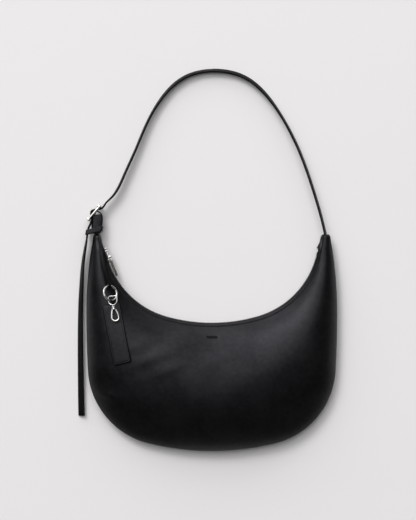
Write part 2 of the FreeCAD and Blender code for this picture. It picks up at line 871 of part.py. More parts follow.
def snap_hook():
    """Swivel barrel and open hook, which the gate closes on the right."""
    centre = hook_centre()
    w = hook_half_width
    shoulder = -hook_start - swivel_length
    r = hook_shoulder_radius
    bend = r * (1.0 - math.sqrt(0.5))
    top = Vector(eye_shift, shoulder, ring_lift)
    tip = gate_pivot()
    left = centre - Vector(w, 0, 0)
    half_turn = (math.pi - hook_tip_angle) / 2
    low = centre + Vector(-w * math.cos(half_turn), -w * math.sin(half_turn), 0)
    corner_end = Vector(left.x, shoulder - r, ring_lift)
    corner_mid = Vector(left.x + bend, shoulder - bend, ring_lift)
    corner_start = Vector(left.x + r, shoulder, ring_lift)
    path = Part.Wire([
        Part.LineSegment(top, corner_start).toShape(),
        Part.Arc(corner_start, corner_mid, corner_end).toShape(),
        Part.LineSegment(corner_end, left).toShape(),
        Part.Arc(left, low, tip).toShape(),
    ])
    hook = wire_along(path, hook_wire_radius)
    barrel = Part.makeCylinder(
        swivel_radius, swivel_length + hook_wire_radius, Vector(eye_shift, -hook_start, ring_lift), -Y_AXIS
    )
    nose_run = w + hook_wire_radius
    nose = Part.makeCylinder(hook_wire_radius, nose_run, top, X_AXIS)
    knuckle = Part.makeSphere(gate_knuckle_radius, tip)
    slot = centred_box(
        2 * gate_knuckle_radius + 2 * overrun, 2 * gate_knuckle_radius + 2 * overrun,
        2 * gate_half_width + 2 * running_gap, tip
    )
    hook = hook.fuse([barrel, nose, knuckle]).cut(slot)
    pin_hole = Part.makeCylinder(
        gate_pin_radius, 2 * gate_knuckle_radius, tip - Vector(0, 0, gate_knuckle_radius), Z_AXIS
    )
    return place_fob(hook.cut(pin_hole))


def gate_pin():
    pivot = gate_pivot()
    length = 2 * gate_knuckle_radius
    return place_fob(Part.makeCylinder(
        gate_pin_radius, length, pivot - Vector(0, 0, gate_knuckle_radius), Z_AXIS
    ))


def hook_gate():
    """Sprung gate: a flat knuckle on its pin and a round bar up to the nose."""
    pivot = gate_pivot()
    shoulder = -hook_start - swivel_length
    nose_low = Vector(pivot.x, shoulder - hook_wire_radius - soft_gap, ring_lift)
    bar_start = pivot + Vector(0, gate_knuckle_radius + soft_gap, 0)
    bar = Part.makeCylinder(gate_radius, nose_low.y - bar_start.y, bar_start, Y_AXIS)
    tongue_length = gate_knuckle_radius + soft_gap + gate_radius
    tongue = centred_box(
        2 * gate_radius, tongue_length, 2 * gate_half_width, pivot + Vector(0, tongue_length / 2, 0)
    )
    knuckle = Part.makeCylinder(
        gate_radius, 2 * gate_half_width, pivot - Vector(0, 0, gate_half_width), Z_AXIS
    )
    hole = Part.makeCylinder(
        gate_pin_radius + running_gap, 2 * gate_knuckle_radius,
        pivot - Vector(0, 0, gate_knuckle_radius), Z_AXIS
    )
    return place_fob(bar.fuse([tongue, knuckle]).cut(hole))


def all_parts():
    return {
        "front_panel": front_panel(),
        "back_panel": back_panel(),
        "front_lining": lining_wall(1),
        "back_lining": lining_wall(-1),
        "slip_pocket": slip_pocket(),
        "horn_tip_left": horn_tip(-1),
        "horn_tip_right": horn_tip(1),
        "zip_tape_front": zip_tape(1),
        "zip_tape_back": zip_tape(-1),
        "zip_teeth_front": zip_teeth(1),
        "zip_teeth_back": zip_teeth(-1),
        "zip_stops": zip_stops(),
        "zip_end_tab_left": zip_end_tab(-1),
        "zip_end_tab_right": zip_end_tab(1),
        "zip_slider": zip_slider(),
        "zip_pull": zip_pull(),
        "strap_band": strap_band(),
        "buckle_tab": buckle_tab(),
        "buckle_frame": buckle_frame(),
        "buckle_prong": buckle_prong(),
        "strap_keeper": strap_keeper(),
        "strap_tail": strap_tail(),
        "fob_lace": fob_lace(),
        "fob_ring": fob_ring(),
        "tag_strip": tag_strip(),
        "tag_loop": tag_loop(),
        "hook_eye": hook_eye(),
        "snap_hook": snap_hook(),
        "gate_pin": gate_pin(),
        "hook_gate": hook_gate(),
    }


def main():
    os.makedirs("parts", exist_ok=True)
    for name, shape in all_parts().items():
        shape.exportStep("parts/%s.step" % name)
        print("%-18s solids %3d  volume %9.1f  valid %s" % (
            name, len(shape.Solids), shape.Volume, shape.isValid()
        ))


main()
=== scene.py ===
"""Half moon shoulder bag: its leather, zip, strap and fob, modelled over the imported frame."""
import math

import bpy
import numpy as np
from mathutils import Matrix, Vector, noise


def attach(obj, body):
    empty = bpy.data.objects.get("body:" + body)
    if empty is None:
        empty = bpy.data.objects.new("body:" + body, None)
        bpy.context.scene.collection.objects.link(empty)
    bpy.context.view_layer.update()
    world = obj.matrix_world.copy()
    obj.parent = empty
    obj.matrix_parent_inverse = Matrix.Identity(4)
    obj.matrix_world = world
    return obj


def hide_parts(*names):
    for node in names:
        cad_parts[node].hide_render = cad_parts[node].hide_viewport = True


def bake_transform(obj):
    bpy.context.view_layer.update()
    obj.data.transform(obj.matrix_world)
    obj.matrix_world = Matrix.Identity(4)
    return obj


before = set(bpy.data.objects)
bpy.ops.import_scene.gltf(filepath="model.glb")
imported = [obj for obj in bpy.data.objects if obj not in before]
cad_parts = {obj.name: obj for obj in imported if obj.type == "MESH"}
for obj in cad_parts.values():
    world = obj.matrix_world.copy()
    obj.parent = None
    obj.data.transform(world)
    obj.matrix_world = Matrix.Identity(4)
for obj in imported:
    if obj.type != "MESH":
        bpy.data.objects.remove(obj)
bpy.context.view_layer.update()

bl_info = {
    "name": "Half moon bag",
    "version": (1, 0, 0),
    "blender": (4, 5, 0),
    "location": "View3D > Sidebar > Half moon bag",
    "description": "Models a half moon shoulder bag over its fixed frame",
    "category": "Object",
}

# Sizes are in millimetres and angles in radians, in the frame's axes:
# +X right, +Y to the strap, +Z off the front
MM = 0.001

# Body outline and depth
HALF_WIDTH = 176.1
WAIST_HEIGHT = 76.7
SIDE_DRAW_IN = 2.0
HORN_HEIGHT = 178.9
HORN_DRAW_IN = 8.8
HORN_WIDTH = 17.4
CORNER_RADIUS = 111.4
BOTTOM_SAG = 7.5
MOUTH_SIDE_X = 31.63
MOUTH_RISE = 5.6
MOUTH_SAG = 4.5
SEAM_HEIGHT = 14.0
LIP_HALF_GAP = 9.0
HORN_HALF_DEPTH = 7.0
BELLY_SWELL = 32.0
FLOOR_PRESS = 0.6
LEATHER = 1.7
LIP_RUN_SHARE = 0.06
BACK_RUN_SHARE = 0.35
CROWN_SHARE = 0.42
TURN_SHARE = 0.45
RIM_POWER = 1.5
BELLY_LOW_SHARE = 0.11
BELLY_MIDDLE_SHARE = 0.53
BELLY_REACH_SHARE = 0.1

# Turned lip of the mouth, and the rim seam
LIP_ZONE = 9.0
LIP_ROUND = 1.1
LIP_PAD = 0.3
LIP_PAD_FALL = 1.4
LIP_ZONE_LIMIT_SHARE = 0.8
GROOVE_RUN = 4.6
GROOVE_DEPTH = 0.8
GROOVE_HALF_WIDTH = 0.55
LIP_ROWS_SHARE = 0.22
FIRST_ROW_SHARE = 0.6
SEAM_PINCH = 1.1
SEAM_PINCH_REACH = 1.5

# Zip
ZIP_START_ANGLE = math.radians(10.0)
TAPE_OFFSET = 0.9
TAPE_THICKNESS = 0.8
TAPE_EDGE_GAP = 1.2
TAPE_BELOW_LIP = 2.1
TAPE_TOP = LIP_HALF_GAP - TAPE_BELOW_LIP
TAPE_ROUNDING = 0.2
TOOTH_PITCH = 4.0
SLIDER_ANGLE = math.radians(15.4)
SLIDER_HALF_LENGTH = 6.0

# Strap and buckle
STRAP_REACH = 233.5
FLOOR_GAP = 0.3

# Arch of the strap: (share of the horn's X, share of the reach above the horns)
STRAP_ROUTE_SHARES = (
    (1.012, 0.000), (0.978, 0.102), (0.919, 0.246), (0.851, 0.390), (0.771, 0.534),
    (0.668, 0.678), (0.531, 0.825), (0.288, 0.975), (0.017, 1.014), (-0.231, 0.977),
    (-0.466, 0.826), (-0.586, 0.678), (-0.675, 0.534), (-0.770, 0.390), (-0.891, 0.246),
)
FLANK_LEAN = math.radians(13.0)
RIGHT_FLANK_SHARE = 1.2
LEFT_LEAN_START_SHARE = 0.17
LEFT_LEAN_RUN_SHARE = 0.14
ARCH_LEAN_START_SHARE = 0.72
ARCH_LEAN_RUN_SHARE = 0.26
BUCKLE_OUT = 6.1
BUCKLE_RISE = 36.4
BUCKLE_ANGLE = math.radians(49.5)

# Way through the buckle and the keeper: (distance along the buckle, distance outward)
WEAVE = (
    (21.0, -3.4), (11.6, -3.6), (0.0, 4.4), (-10.8, -4.3), (-19.3, -7.1), (-31.4, -13.8),
)
TAIL_DROP = 251.8
TAIL_BOW = 8.4
TAIL_LAND_SHARE = 0.4

# Tail: (share of its drop, share of its bow), and how far it is turned over at shares of its drop
TAIL_ROUTE_SHARES = (
    (0.131, 0.62), (0.242, 0.91), (0.353, 1.09), (0.520, 1.18),
    (0.687, 1.15), (0.854, 1.08), (0.965, 1.01), (1.000, 0.98),
)
TAIL_TURN_SHARES = (0.0, 0.04, 0.12, 0.242, 0.353, 0.52, 0.687, 0.854, 1.0)
TAIL_TURNS = np.radians((0.0, 11.0, 19.0, 28.0, 35.0, 40.0, 46.0, 54.0, 58.0))

# Fob
FOB_TURN = math.radians(11.8)
FOB_SHIFT = Vector((1.6, -1.6, 0.0))
FOB_SLOPE = math.radians(9.5)
FOB_CLEAR = 9.5
RING_LIFT = 6.2
RING_DISTANCE = 77.5
RING_RADIUS = 10.5


def ease(share):
    """Smooth step from 0 to 1."""
    share = min(max(share, 0.0), 1.0)
    return share * share * (3.0 - 2.0 * share)


def bell(distance, width):
    """Smooth bump of height 1 at distance 0."""
    return math.exp(-((distance / width) ** 2))


def spread(first, last, count):
    """Even steps from first to last, with both ends."""
    return [first + (last - first) * k / (count - 1) for k in range(count)]


def polar(centre, radius, angle):
    """Point round a centre, at an angle from X."""
    return Vector((centre.x + radius * math.cos(angle), centre.y + radius * math.sin(angle), centre.z))


def arc(centre, radius, first, last, count):
    """Points of an arc from its first angle to its last."""
    return [polar(centre, radius, angle) for angle in spread(first, last, count)]


def set_at(point, angle, axis="Z"):
    """Frame at a point, turned about one of its axes."""
    return Matrix.Translation(point) @ Matrix.Rotation(angle, 4, axis)


def distances_along(line):
    """Distance of each point of a line from its first."""
    return np.concatenate(([0.0], np.cumsum([(b - a).length for a, b in zip(line, line[1:])])))


def mirrored(point):
    """Point on the other side of the middle plane."""
    return Vector((-point.x, point.y, point.z))


def outer_arcs():
    """Outline of the right half, horn to bottom: (centre, radius, first angle, last angle) of each arc."""
    corner = Vector((HALF_WIDTH - SIDE_DRAW_IN - CORNER_RADIUS, 0, 0))
    draw = SIDE_DRAW_IN
    lower_radius = (2 * CORNER_RADIUS * draw + draw ** 2 + WAIST_HEIGHT ** 2) / (2 * draw)
    upper_run = HORN_HEIGHT - WAIST_HEIGHT
    upper_radius = (upper_run ** 2 + HORN_DRAW_IN ** 2) / (2 * HORN_DRAW_IN)
    bottom_radius = (corner.x ** 2 + 2 * CORNER_RADIUS * BOTTOM_SAG + BOTTOM_SAG ** 2) / (2 * BOTTOM_SAG)
    upper = Vector((HALF_WIDTH - upper_radius, WAIST_HEIGHT, 0))
    lower = Vector((HALF_WIDTH - lower_radius, WAIST_HEIGHT, 0))
    bottom = Vector((0, bottom_radius - CORNER_RADIUS - BOTTOM_SAG, 0))
    side_angle = math.atan2(-WAIST_HEIGHT, corner.x - lower.x)
    corner_angle = math.atan2(-bottom.y, corner.x)
    return (
        (upper, upper_radius, math.asin(upper_run / upper_radius), 0.0),
        (lower, lower_radius, 0.0, side_angle),
        (corner, CORNER_RADIUS, side_angle, corner_angle),
        (bottom, bottom_radius, corner_angle, -math.pi / 2),
    )


HORN_OUTER_X = HALF_WIDTH - HORN_DRAW_IN
HORN_X = HORN_OUTER_X - HORN_WIDTH / 2
MOUTH_RADIUS = math.hypot(HORN_OUTER_X - HORN_WIDTH - MOUTH_SIDE_X, MOUTH_RISE)
MOUTH_SIDE = Vector((MOUTH_SIDE_X, HORN_HEIGHT + MOUTH_RISE, 0))
MOUTH_LOW_RADIUS = (2 * MOUTH_RADIUS * MOUTH_SAG + MOUTH_SAG ** 2 + MOUTH_SIDE_X ** 2) / (2 * MOUTH_SAG)
MOUTH_LOW = Vector((0, MOUTH_SIDE.y - MOUTH_RADIUS - MOUTH_SAG + MOUTH_LOW_RADIUS, 0))
MOUTH_TURN = math.atan2(MOUTH_SIDE.y - MOUTH_LOW.y, MOUTH_SIDE_X)
MOUTH_ARCS = (
    (MOUTH_SIDE, MOUTH_RADIUS, -math.asin(MOUTH_RISE / MOUTH_RADIUS), MOUTH_TURN),
    (MOUTH_LOW, MOUTH_LOW_RADIUS, MOUTH_TURN, -math.pi / 2),
)
OUTER_ARCS = outer_arcs()


def point_along(arcs, share):
    """Point at a share of the length of a chain of arcs."""
    lengths = [radius * abs(last - first) for _, radius, first, last in arcs]
    distance = share * sum(lengths)
    for (centre, radius, first, last), length in zip(arcs[:-1], lengths):
        if distance <= length:
            return polar(centre, radius, first + (last - first) * distance / length)
        distance -= length
    centre, radius, first, last = arcs[-1]
    return polar(centre, radius, first + (last - first) * min(distance / lengths[-1], 1.0))


def edge_points(t):
    """Mouth point, rim point and distance from the horn (0 to 1) at t, left horn to right horn."""
    q = min(2.0 * t, 2.0 - 2.0 * t)
    mouth = point_along(MOUTH_ARCS, q)
    rim = point_along(OUTER_ARCS, q)
    if t < 0.5:
        return mirrored(mouth), mirrored(rim), q
    return mouth, rim, q


def lip_depth(q):
    """Depth of the lip from the seam plane."""
    return HORN_HALF_DEPTH + (LIP_HALF_GAP - HORN_HALF_DEPTH) * ease(q / LIP_RUN_SHARE)


def crown_depth(q, side):
    """Depth of the crown from the seam plane, front (side 1) or back (side -1)."""
    if side > 0:
        return lip_depth(q) + BELLY_SWELL * math.sin(math.pi * q / 2)
    return lip_depth(q) + (SEAM_HEIGHT + FLOOR_PRESS - LIP_HALF_GAP) * ease(q / BACK_RUN_SHARE)


def crown_share(t):
    """Share of the way to the rim at which the crown lies, lower in the sagging middle."""
    return CROWN_SHARE + BELLY_LOW_SHARE * bell(t - BELLY_MIDDLE_SHARE, BELLY_REACH_SHARE)


def profile(u, width, crown_run, lip, crown, inset):
    """Run from the mouth and depth from the seam plane, over the crown to the rim."""
    if u < TURN_SHARE:
        x = 1.0 - u / TURN_SHARE
        return crown_run * (1.0 - x), crown - (crown - lip) * x * x
    turn = (u - TURN_SHARE) / (1.0 - TURN_SHARE) * math.pi / 2
    run = crown_run + (width - inset - crown_run) * math.sin(turn)
    return run, crown * max(math.cos(turn), 0.0) ** RIM_POWER


# How the mouth side of each horn is drawn in near its top: (sign, draw, first height)
HORN_DRAWS = ((-1, 5.2, 152.0), (1, 2.4, 160.0))
HORN_DRAW_PAST = 4.0
HORN_DRAW_LIMIT_SHARE = 1.3


def drawn_in(point):
    """Point of the bag after the horns are drawn in towards their outer edges."""
    for sign, draw, first in HORN_DRAWS:
        if point.x * sign > 0 and point.y > first:
            across = (HORN_OUTER_X - point.x * sign) / HORN_WIDTH
            share = ease((point.y - first) / (HORN_HEIGHT + HORN_DRAW_PAST - first))
            point.x += sign * draw * share * min(max(across, 0.0), HORN_DRAW_LIMIT_SHARE)
    return point


# Soft folds of the front: (first x, first y, last x, last y, half width, height)
FOLDS = (
    (-118.0, 0.0, -42.0, 30.0, 8.0, 1.0),
    (-96.0, -16.0, -18.0, 14.0, 9.0, 0.8),
    (-120.0, 22.0, -70.0, 44.0, 7.0, 0.6),
    (-60.0, 40.0, -10.0, 50.0, 7.0, 0.5),
    (-170.0, -33.0, -126.0, -44.0, 6.0, 1.9),
    (-164.0, -12.0, -138.0, -24.0, 9.0, -1.2),
    (-30.0, -8.0, 40.0, 24.0, 11.0, 0.7),
    (60.0, 40.0, 110.0, 72.0, 12.0, 0.6),
    (-150.0, 120.0, -128.0, 60.0, 8.0, 0.7),
    (-160.0, 168.0, -154.0, 128.0, 3.2, 0.5),
    (140.0, 130.0, 118.0, 70.0, 10.0, 0.5),
)
FOLD_END_SHARE = 0.42
FOLD_FADE_MOUTH = 16.0
FOLD_FADE_RIM = 30.0
MARK_CENTRE = (0.7, 42.1)
MARK_HALF = (7.4, 1.9)
MARK_DEPTH = 0.7
MARK_EDGE = 0.9
MARK_FADE = (0.5, 0.2)
SLACK_SIZE = 52.0
SLACK_HEIGHT = 0.9


def fold_height(x, y):
    """Height of the soft folds and of the leather's slack at a point of the front."""
    height = SLACK_HEIGHT * noise.noise(Vector((x, y, 0)) / SLACK_SIZE)
    for x0, y0, x1, y1, width, top in FOLDS:
        line = Vector((x1 - x0, y1 - y0))
        to_point = Vector((x - x0, y - y0))
        along = to_point.dot(line) / line.length_squared
        away = abs(line.cross(to_point)) / line.length
        height += top * bell(away, width) * bell(along - 0.5, FOLD_END_SHARE)
    return height


def mark_depth(x, y):
    """Depth of the plain pressed bar under the mouth."""
    inside = min(MARK_HALF[0] - abs(x - MARK_CENTRE[0]), MARK_HALF[1] - abs(y - MARK_CENTRE[1]))
    return MARK_DEPTH * ease(inside / MARK_EDGE + 0.5)


def lip_relief(run):
    """Rounded turned edge of the mouth, and the sewn groove below it."""
    relief = LIP_PAD * (1.0 - ease((run - GROOVE_RUN) / LIP_PAD_FALL + 0.5))
    relief -= GROOVE_DEPTH * bell(run - GROOVE_RUN, GROOVE_HALF_WIDTH)
    if run < LIP_ROUND:
        relief -= LIP_ROUND - math.sqrt(max(LIP_ROUND ** 2 - (LIP_ROUND - run) ** 2, 0.0))
    return relief


def panel_point(t, v, side):
    """Point of a leather panel, v from the turned lip (0) to the rim seam (1)."""
    mouth, rim, q = edge_points(t)
    across = rim - mouth
    width = across.length
    crown_run = crown_share(t) * width
    lip_share = TURN_SHARE * min(LIP_ZONE / crown_run, LIP_ZONE_LIMIT_SHARE)
    if v < LIP_ROWS_SHARE:
        u = lip_share * v / LIP_ROWS_SHARE
    else:
        w = (v - LIP_ROWS_SHARE) / (1.0 - LIP_ROWS_SHARE)
        u = lip_share + (1.0 - lip_share) * w * (FIRST_ROW_SHARE + (1.0 - FIRST_ROW_SHARE) * w)
    run, depth = profile(u, width, crown_run, lip_depth(q), crown_depth(q, side), 0.0)
    flat = mouth + across * (run / width)
    depth += lip_relief(run)
    if side > 0:
        inside = ease(run / FOLD_FADE_MOUTH) * ease((width - run) / FOLD_FADE_RIM)
        depth += inside * fold_height(flat.x, flat.y) - mark_depth(flat.x, flat.y)
    run -= SEAM_PINCH * bell(depth, SEAM_PINCH_REACH)
    flat = mouth + across * (run / width)
    return drawn_in(Vector((flat.x, flat.y, max(SEAM_HEIGHT + side * depth, 0.0))))


# Modelling helpers
def deselect():
    bpy.ops.object.select_all(action="DESELECT")


def named(name):
    """Give the object just made its name."""
    piece = bpy.context.object
    piece.name = name
    piece.data.name = name
    return piece


def grid(name, columns, rows):
    """Flat grid over the unit square, to be shaped."""
    deselect()
    bpy.ops.mesh.primitive_grid_add(
        x_subdivisions=columns, y_subdivisions=rows, size=1.0, location=(0.5, 0.5, 0.0)
    )
    bpy.ops.object.transform_apply(location=True, rotation=False, scale=False)
    return named(name)


def shape(piece, point_at):
    """Move each point of a unit grid to the point, in millimetres, of its two shares."""
    for vertex in piece.data.vertices:
        vertex.co = point_at(vertex.co.x, vertex.co.y) * MM
    piece.data.update()


def only(piece):
    """Select one piece alone and make it active."""
    deselect()
    piece.select_set(True)
    bpy.context.view_layer.objects.active = piece


def modify(piece, kind, **options):
    """Add a modifier with its options and apply it."""
    only(piece)
    bpy.ops.object.modifier_add(type=kind)
    modifier = piece.modifiers[-1]
    for key, value in options.items():
        setattr(modifier, key, value)
    bpy.ops.object.modifier_apply(modifier=modifier.name)


def edit(piece, *steps):
    """Run edit mode operators on a piece in turn, each given with its options."""
    only(piece)
    bpy.ops.object.mode_set(mode="EDIT")
    for operator, options in steps:
        operator(**options)
    bpy.ops.object.mode_set(mode="OBJECT")


SELECT_ALL = (bpy.ops.mesh.select_all, {"action": "SELECT"})
SELECT_NONE = (bpy.ops.mesh.select_all, {"action": "DESELECT"})
FACE_OUTWARDS = (bpy.ops.mesh.normals_make_consistent, {"inside": False})
SEAM_GAP = 0.01
WIRE_SEAM_GAP = 1.0


def weld(piece, gap=SEAM_GAP):
    """Merge points that meet, and turn the faces outwards."""
    edit(piece, SELECT_ALL, (bpy.ops.mesh.remove_doubles, {"threshold": gap * MM}), FACE_OUTWARDS)


def close(piece):
    """Fill the open rim of a shell."""
    edit(piece, SELECT_ALL, (bpy.ops.mesh.fill_holes, {"sides": 0}), FACE_OUTWARDS)


def face_towards(piece, index, direction):
    """Turn an open sheet so that its face of that index looks along a direction."""
    if piece.data.polygons[index].normal.dot(Vector(direction)) < 0:
        edit(piece, SELECT_ALL, (bpy.ops.mesh.flip_normals, {}))


def drop_faces(piece, test):
    """Delete the faces that pass a test."""
    edit(piece, SELECT_NONE)
    for face in piece.data.polygons:
        face.select = test(face)
    edit(piece, (bpy.ops.mesh.delete, {"type": "FACE"}))


SMOOTH_ANGLE = math.radians(35.0)
CORNER_ANGLE = math.radians(30.0)
SHEET_EDGE_ANGLE = math.radians(50.0)


def smooth(piece, angle=SMOOTH_ANGLE):
    only(piece)
    bpy.ops.object.shade_smooth_by_angle(angle=angle)


def round_edges(piece, width, segments, angle=CORNER_ANGLE):
    """Bevel the edges that turn by more than an angle."""
    modify(piece, "BEVEL", width=width, segments=segments, limit_method="ANGLE", angle_limit=angle)
    smooth(piece)


def thicken(piece, thickness, offset=0.0, rounding=0.0, segments=2):
    """Give a sheet its thickness and round its edges, in millimetres."""
    modify(piece, "SOLIDIFY", thickness=thickness * MM, offset=offset, use_even_offset=True)
    if rounding:
        round_edges(piece, rounding * MM, segments, SHEET_EDGE_ANGLE)
    else:
        smooth(piece)


def in_millimetres(piece):
    """Scale a piece that was shaped in metres, so that place can put it in its place."""
    piece.data.transform(Matrix.Scale(1.0 / MM, 4))
    return piece


def place(piece, matrix):
    """Put a piece that was modelled in millimetres about the origin in its place."""
    piece.data.transform(Matrix.Scale(MM, 4) @ matrix)
    piece.data.update()


def finish_piece(piece, body, slot, material, *nodes, at=None):
    """Place a piece, give it its material and its body, and hide the nodes it stands for; the slot is not
    used.
    """
    if at is not None:
        place(piece, at)
    piece.data.materials.clear()
    piece.data.materials.append(material)
    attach(piece, body)
    if nodes:
        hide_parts(*nodes)


def paint_edges(piece, painted):
    """Give the cut edges of a finished leather piece, the faces that pass a test, their paint."""
    piece.data.materials.append(edge_paint())
    for face in piece.data.polygons:
        face.material_index = int(painted(face))


def add(name, data):
    """Object in the scene of a new mesh or curve."""
    piece = bpy.data.objects.new(name, data)
    bpy.context.collection.objects.link(piece)
    return piece


def mesh_piece(name, points, faces):
    mesh = bpy.data.meshes.new(name)
    mesh.from_pydata(points, [], faces)
    return add(name, mesh)


def from_lowest(corners):
    """Corners of a face in their order, starting at the lowest."""
    low = corners.index(min(corners))
    return corners[low:] + corners[:low]


def copies(name, unit, matrices):
    """One mesh of many copies of a small unit, which is then deleted."""
    points = [vertex.co.copy() for vertex in unit.data.vertices]
    # Blender gives the faces of a new sphere in an order that changes from run to run
    faces = sorted(from_lowest(tuple(face.vertices)) for face in unit.data.polygons)
    all_points = []
    all_faces = []
    for matrix in matrices:
        base = len(all_points)
        all_points += [(matrix @ point) * MM for point in points]
        all_faces += [tuple(base + k for k in face) for face in faces]
    only(unit)
    bpy.ops.object.delete()
    piece = mesh_piece(name, all_points, all_faces)
    smooth(piece)
    return piece


WIRE_RESOLUTION = 4


def wire(name, points, radius, closed):
    """Round wire along points in millimetres."""
    curve = bpy.data.curves.new(name, "CURVE")
    curve.dimensions = "3D"
    curve.bevel_depth = radius
    curve.bevel_resolution = WIRE_RESOLUTION
    curve.use_fill_caps = True
    spline = curve.splines.new("POLY")
    spline.points.add(len(points) - 1)
    for target, point in zip(spline.points, points):
        target.co = (*point, 1.0)
    spline.use_cyclic_u = closed
    only(add(name, curve))
    bpy.ops.object.convert(target="MESH")
    piece = named(name)
    weld(piece, WIRE_SEAM_GAP)
    smooth(piece)
    return piece


def join(name, first, *others):
    """Join pieces that are one part into the first, and name it."""
    first.name = name
    only(first)
    for other in others:
        other.select_set(True)
    bpy.ops.object.join()
    return first


def rounded_block(name, size, centre, rounding, segments=3):
    """Block with rounded edges, in millimetres."""
    deselect()
    bpy.ops.mesh.primitive_cube_add(size=1.0, location=centre)
    bpy.context.object.scale = size
    bpy.ops.object.transform_apply(location=True, rotation=False, scale=True)
    piece = named(name)
    round_edges(piece, rounding, segments)
    return piece


ALONG_Z = (0, 0, 0)
ALONG_Y = (math.pi / 2, 0, 0)
BAR_SIDES = 32


def rounded_bar(name, radius, length, centre, rounding, turn=ALONG_Z):
    """Round bar with rounded rims, in millimetres."""
    deselect()
    bpy.ops.mesh.primitive_cylinder_add(
        vertices=BAR_SIDES, radius=radius, depth=length, location=centre, rotation=turn
    )
    bpy.ops.object.transform_apply(location=True, rotation=True, scale=False)
    piece = named(name)
    round_edges(piece, rounding, 3)
    return piece


# Shader maths
class Value:
    """A socket whose sums and products with others add Math nodes."""

    def __init__(self, tree, socket):
        self.tree = tree
        self.socket = socket

    def math(self, operation, first, second):
        node = self.tree.nodes.new("ShaderNodeMath")
        node.operation = operation
        for target, source in zip(node.inputs, (first, second)):
            feed(self.tree, target, source)
        return Value(self.tree, node.outputs[0])

    def __add__(self, other):
        return self.math("ADD", self, other)

    def __sub__(self, other):
        return self.math("SUBTRACT", self, other)

    def __rsub__(self, other):
        return self.math("SUBTRACT", other, self)

    def __mul__(self, other):
        return self.math("MULTIPLY", self, other)

    __radd__ = __add__
    __rmul__ = __mul__


def feed(tree, target, source):
    """Link a socket, or set its constant."""
    if isinstance(source, Value):
        tree.links.new(source.socket, target)
    else:
        target.default_value = source


class Finish:
    """A material in the making."""

    def __init__(self, name):
        self.material = bpy.data.materials.new(name)
        self.material.use_nodes = True
        self.tree = self.material.node_tree
        self.shader = self.tree.nodes["Principled BSDF"]

    def node(self, kind, options, inputs, output=0):
        """Add a node: its options first, then the values or links of its sockets."""
        node = self.tree.nodes.new(kind)
        for key, value in options.items():
            setattr(node, key, value)
        for key, value in inputs.items():
            feed(self.tree, node.inputs[key], value)
        return Value(self.tree, node.outputs[output])

    def where(self, kind="Object"):
        return self.node("ShaderNodeTexCoord", {}, {}, kind)

    def noise(self, where, scale, detail=2.0, rough=0.5):
        return self.node(
            "ShaderNodeTexNoise", {},
            {"Vector": where, "Scale": scale, "Detail": detail, "Roughness": rough}
        )

    def ramp(self, value, low, high):
        """0 below low, 1 above high, smooth between."""
        return self.node(
            "ShaderNodeMapRange", {"interpolation_type": "SMOOTHSTEP"},
            {"Value": value, "From Min": low, "From Max": high}
        )

    def shades(self, share, colour, tints):
        """A colour that runs from its first tint to its second."""
        # A Mix node's colours are its sockets 6 and 7, and its mixed colour is its output 2
        first, second = ((*(min(channel * tint, 1.0) for channel in colour), 1.0) for tint in tints)
        return self.node("ShaderNodeMix", {"data_type": "RGBA"}, {0: share, 6: first, 7: second}, 2)

    def across(self, where):
        """The first two coordinates of a place."""
        return [self.node("ShaderNodeSeparateXYZ", {}, {"Vector": where}, axis) for axis in ("X", "Y")]

    def box_mask(self, where, centre, half):
        """1 inside an upright box of the front, in millimetres, 0 outside."""
        inside = []
        for along, middle, reach in zip(self.across(where), centre, half):
            away = self.node("ShaderNodeMath", {"operation": "ABSOLUTE"}, {0: along - middle * MM})
            inside.append(1.0 - self.ramp(away, (reach - MARK_FADE[0]) * MM, (reach + MARK_FADE[1]) * MM))
        return inside[0] * inside[1]

    def bump(self, height, strength, distance):
        return self.node(
            "ShaderNodeBump", {}, {"Height": height, "Strength": strength, "Distance": distance}
        )

    def set(self, **inputs):
        for key, value in inputs.items():
            feed(self.tree, self.shader.inputs[key.replace("_", " ")], value)
        return self.material


# Finishes: noise scales are counts in a metre, depths are in millimetres, shades are tints of the colour,
# a range is where a ramp starts and ends, and rougher is how much a noise adds to the roughness
NOISE_DETAIL = 3.0
NOISE_ROUGHNESS = 0.6
LEATHER_SHADES = (0.75, 1.25)
LEATHER_SHADE_RANGE = (0.3, 0.7)
LEATHER_TINT = (0.90, 0.88, 1.0, 1.0)
LEATHER_COAT = 0.16
LEATHER_COAT_ROUGHNESS = 0.42
LEATHER_COAT_RANGE = (0.34, 0.66)
BROAD_COAT_SHARE = 0.45
UNEVEN_COAT_SHARE = 0.35
PORES_COAT_SHARE = 0.2
BROAD_SCALE = 26.0
BROAD_NOISE_ROUGHNESS = 0.55
BROAD_ROUGHER = 0.1
PORES_IN_PEBBLE = 2.4
PORES_HEIGHT = 0.5
PORES_ROUGHER = 0.08
UNEVEN_IN_PEBBLE = 0.16
UNEVEN_HEIGHT = 3.2
PEBBLE_EDGE_SHARE = 0.16
PEBBLE_HEIGHT = 0.6
GRAIN_STRENGTH = 0.4
MARK_ROUGHER = 0.4
EDGE_SHADES = (0.6, 1.3)
EDGE_ROUGHNESS = 0.72
EDGE_SHEEN = 0.06
EDGE_SPECK_SCALE = 1400.0
EDGE_SPECK_ROUGHER = 0.1
EDGE_SPECK_STRENGTH = 0.2
EDGE_SPECK_DEPTH = 0.05
METAL_SHADES = (0.93, 1.0)
SMEAR_SCALE = 260.0
SMEAR_SHADE_RANGE = (0.35, 0.7)
SMEAR_ROUGH_RANGE = (0.45, 0.8)
SMEAR_ROUGHER = 0.1
SCRATCH_SCALE = 2400.0
SCRATCH_DETAIL = 2.0
SCRATCH_NOISE_ROUGHNESS = 0.7
SCRATCH_ROUGHER = 0.03
SCRATCH_STRENGTH = 0.04
SCRATCH_DEPTH = 0.05
CLOTH_SHADES = (0.55, 1.15)
CLOTH_SHEEN = 0.2
WEAVE_RANGE = (0.0, 0.5)
WEAVE_STRENGTH = 0.5
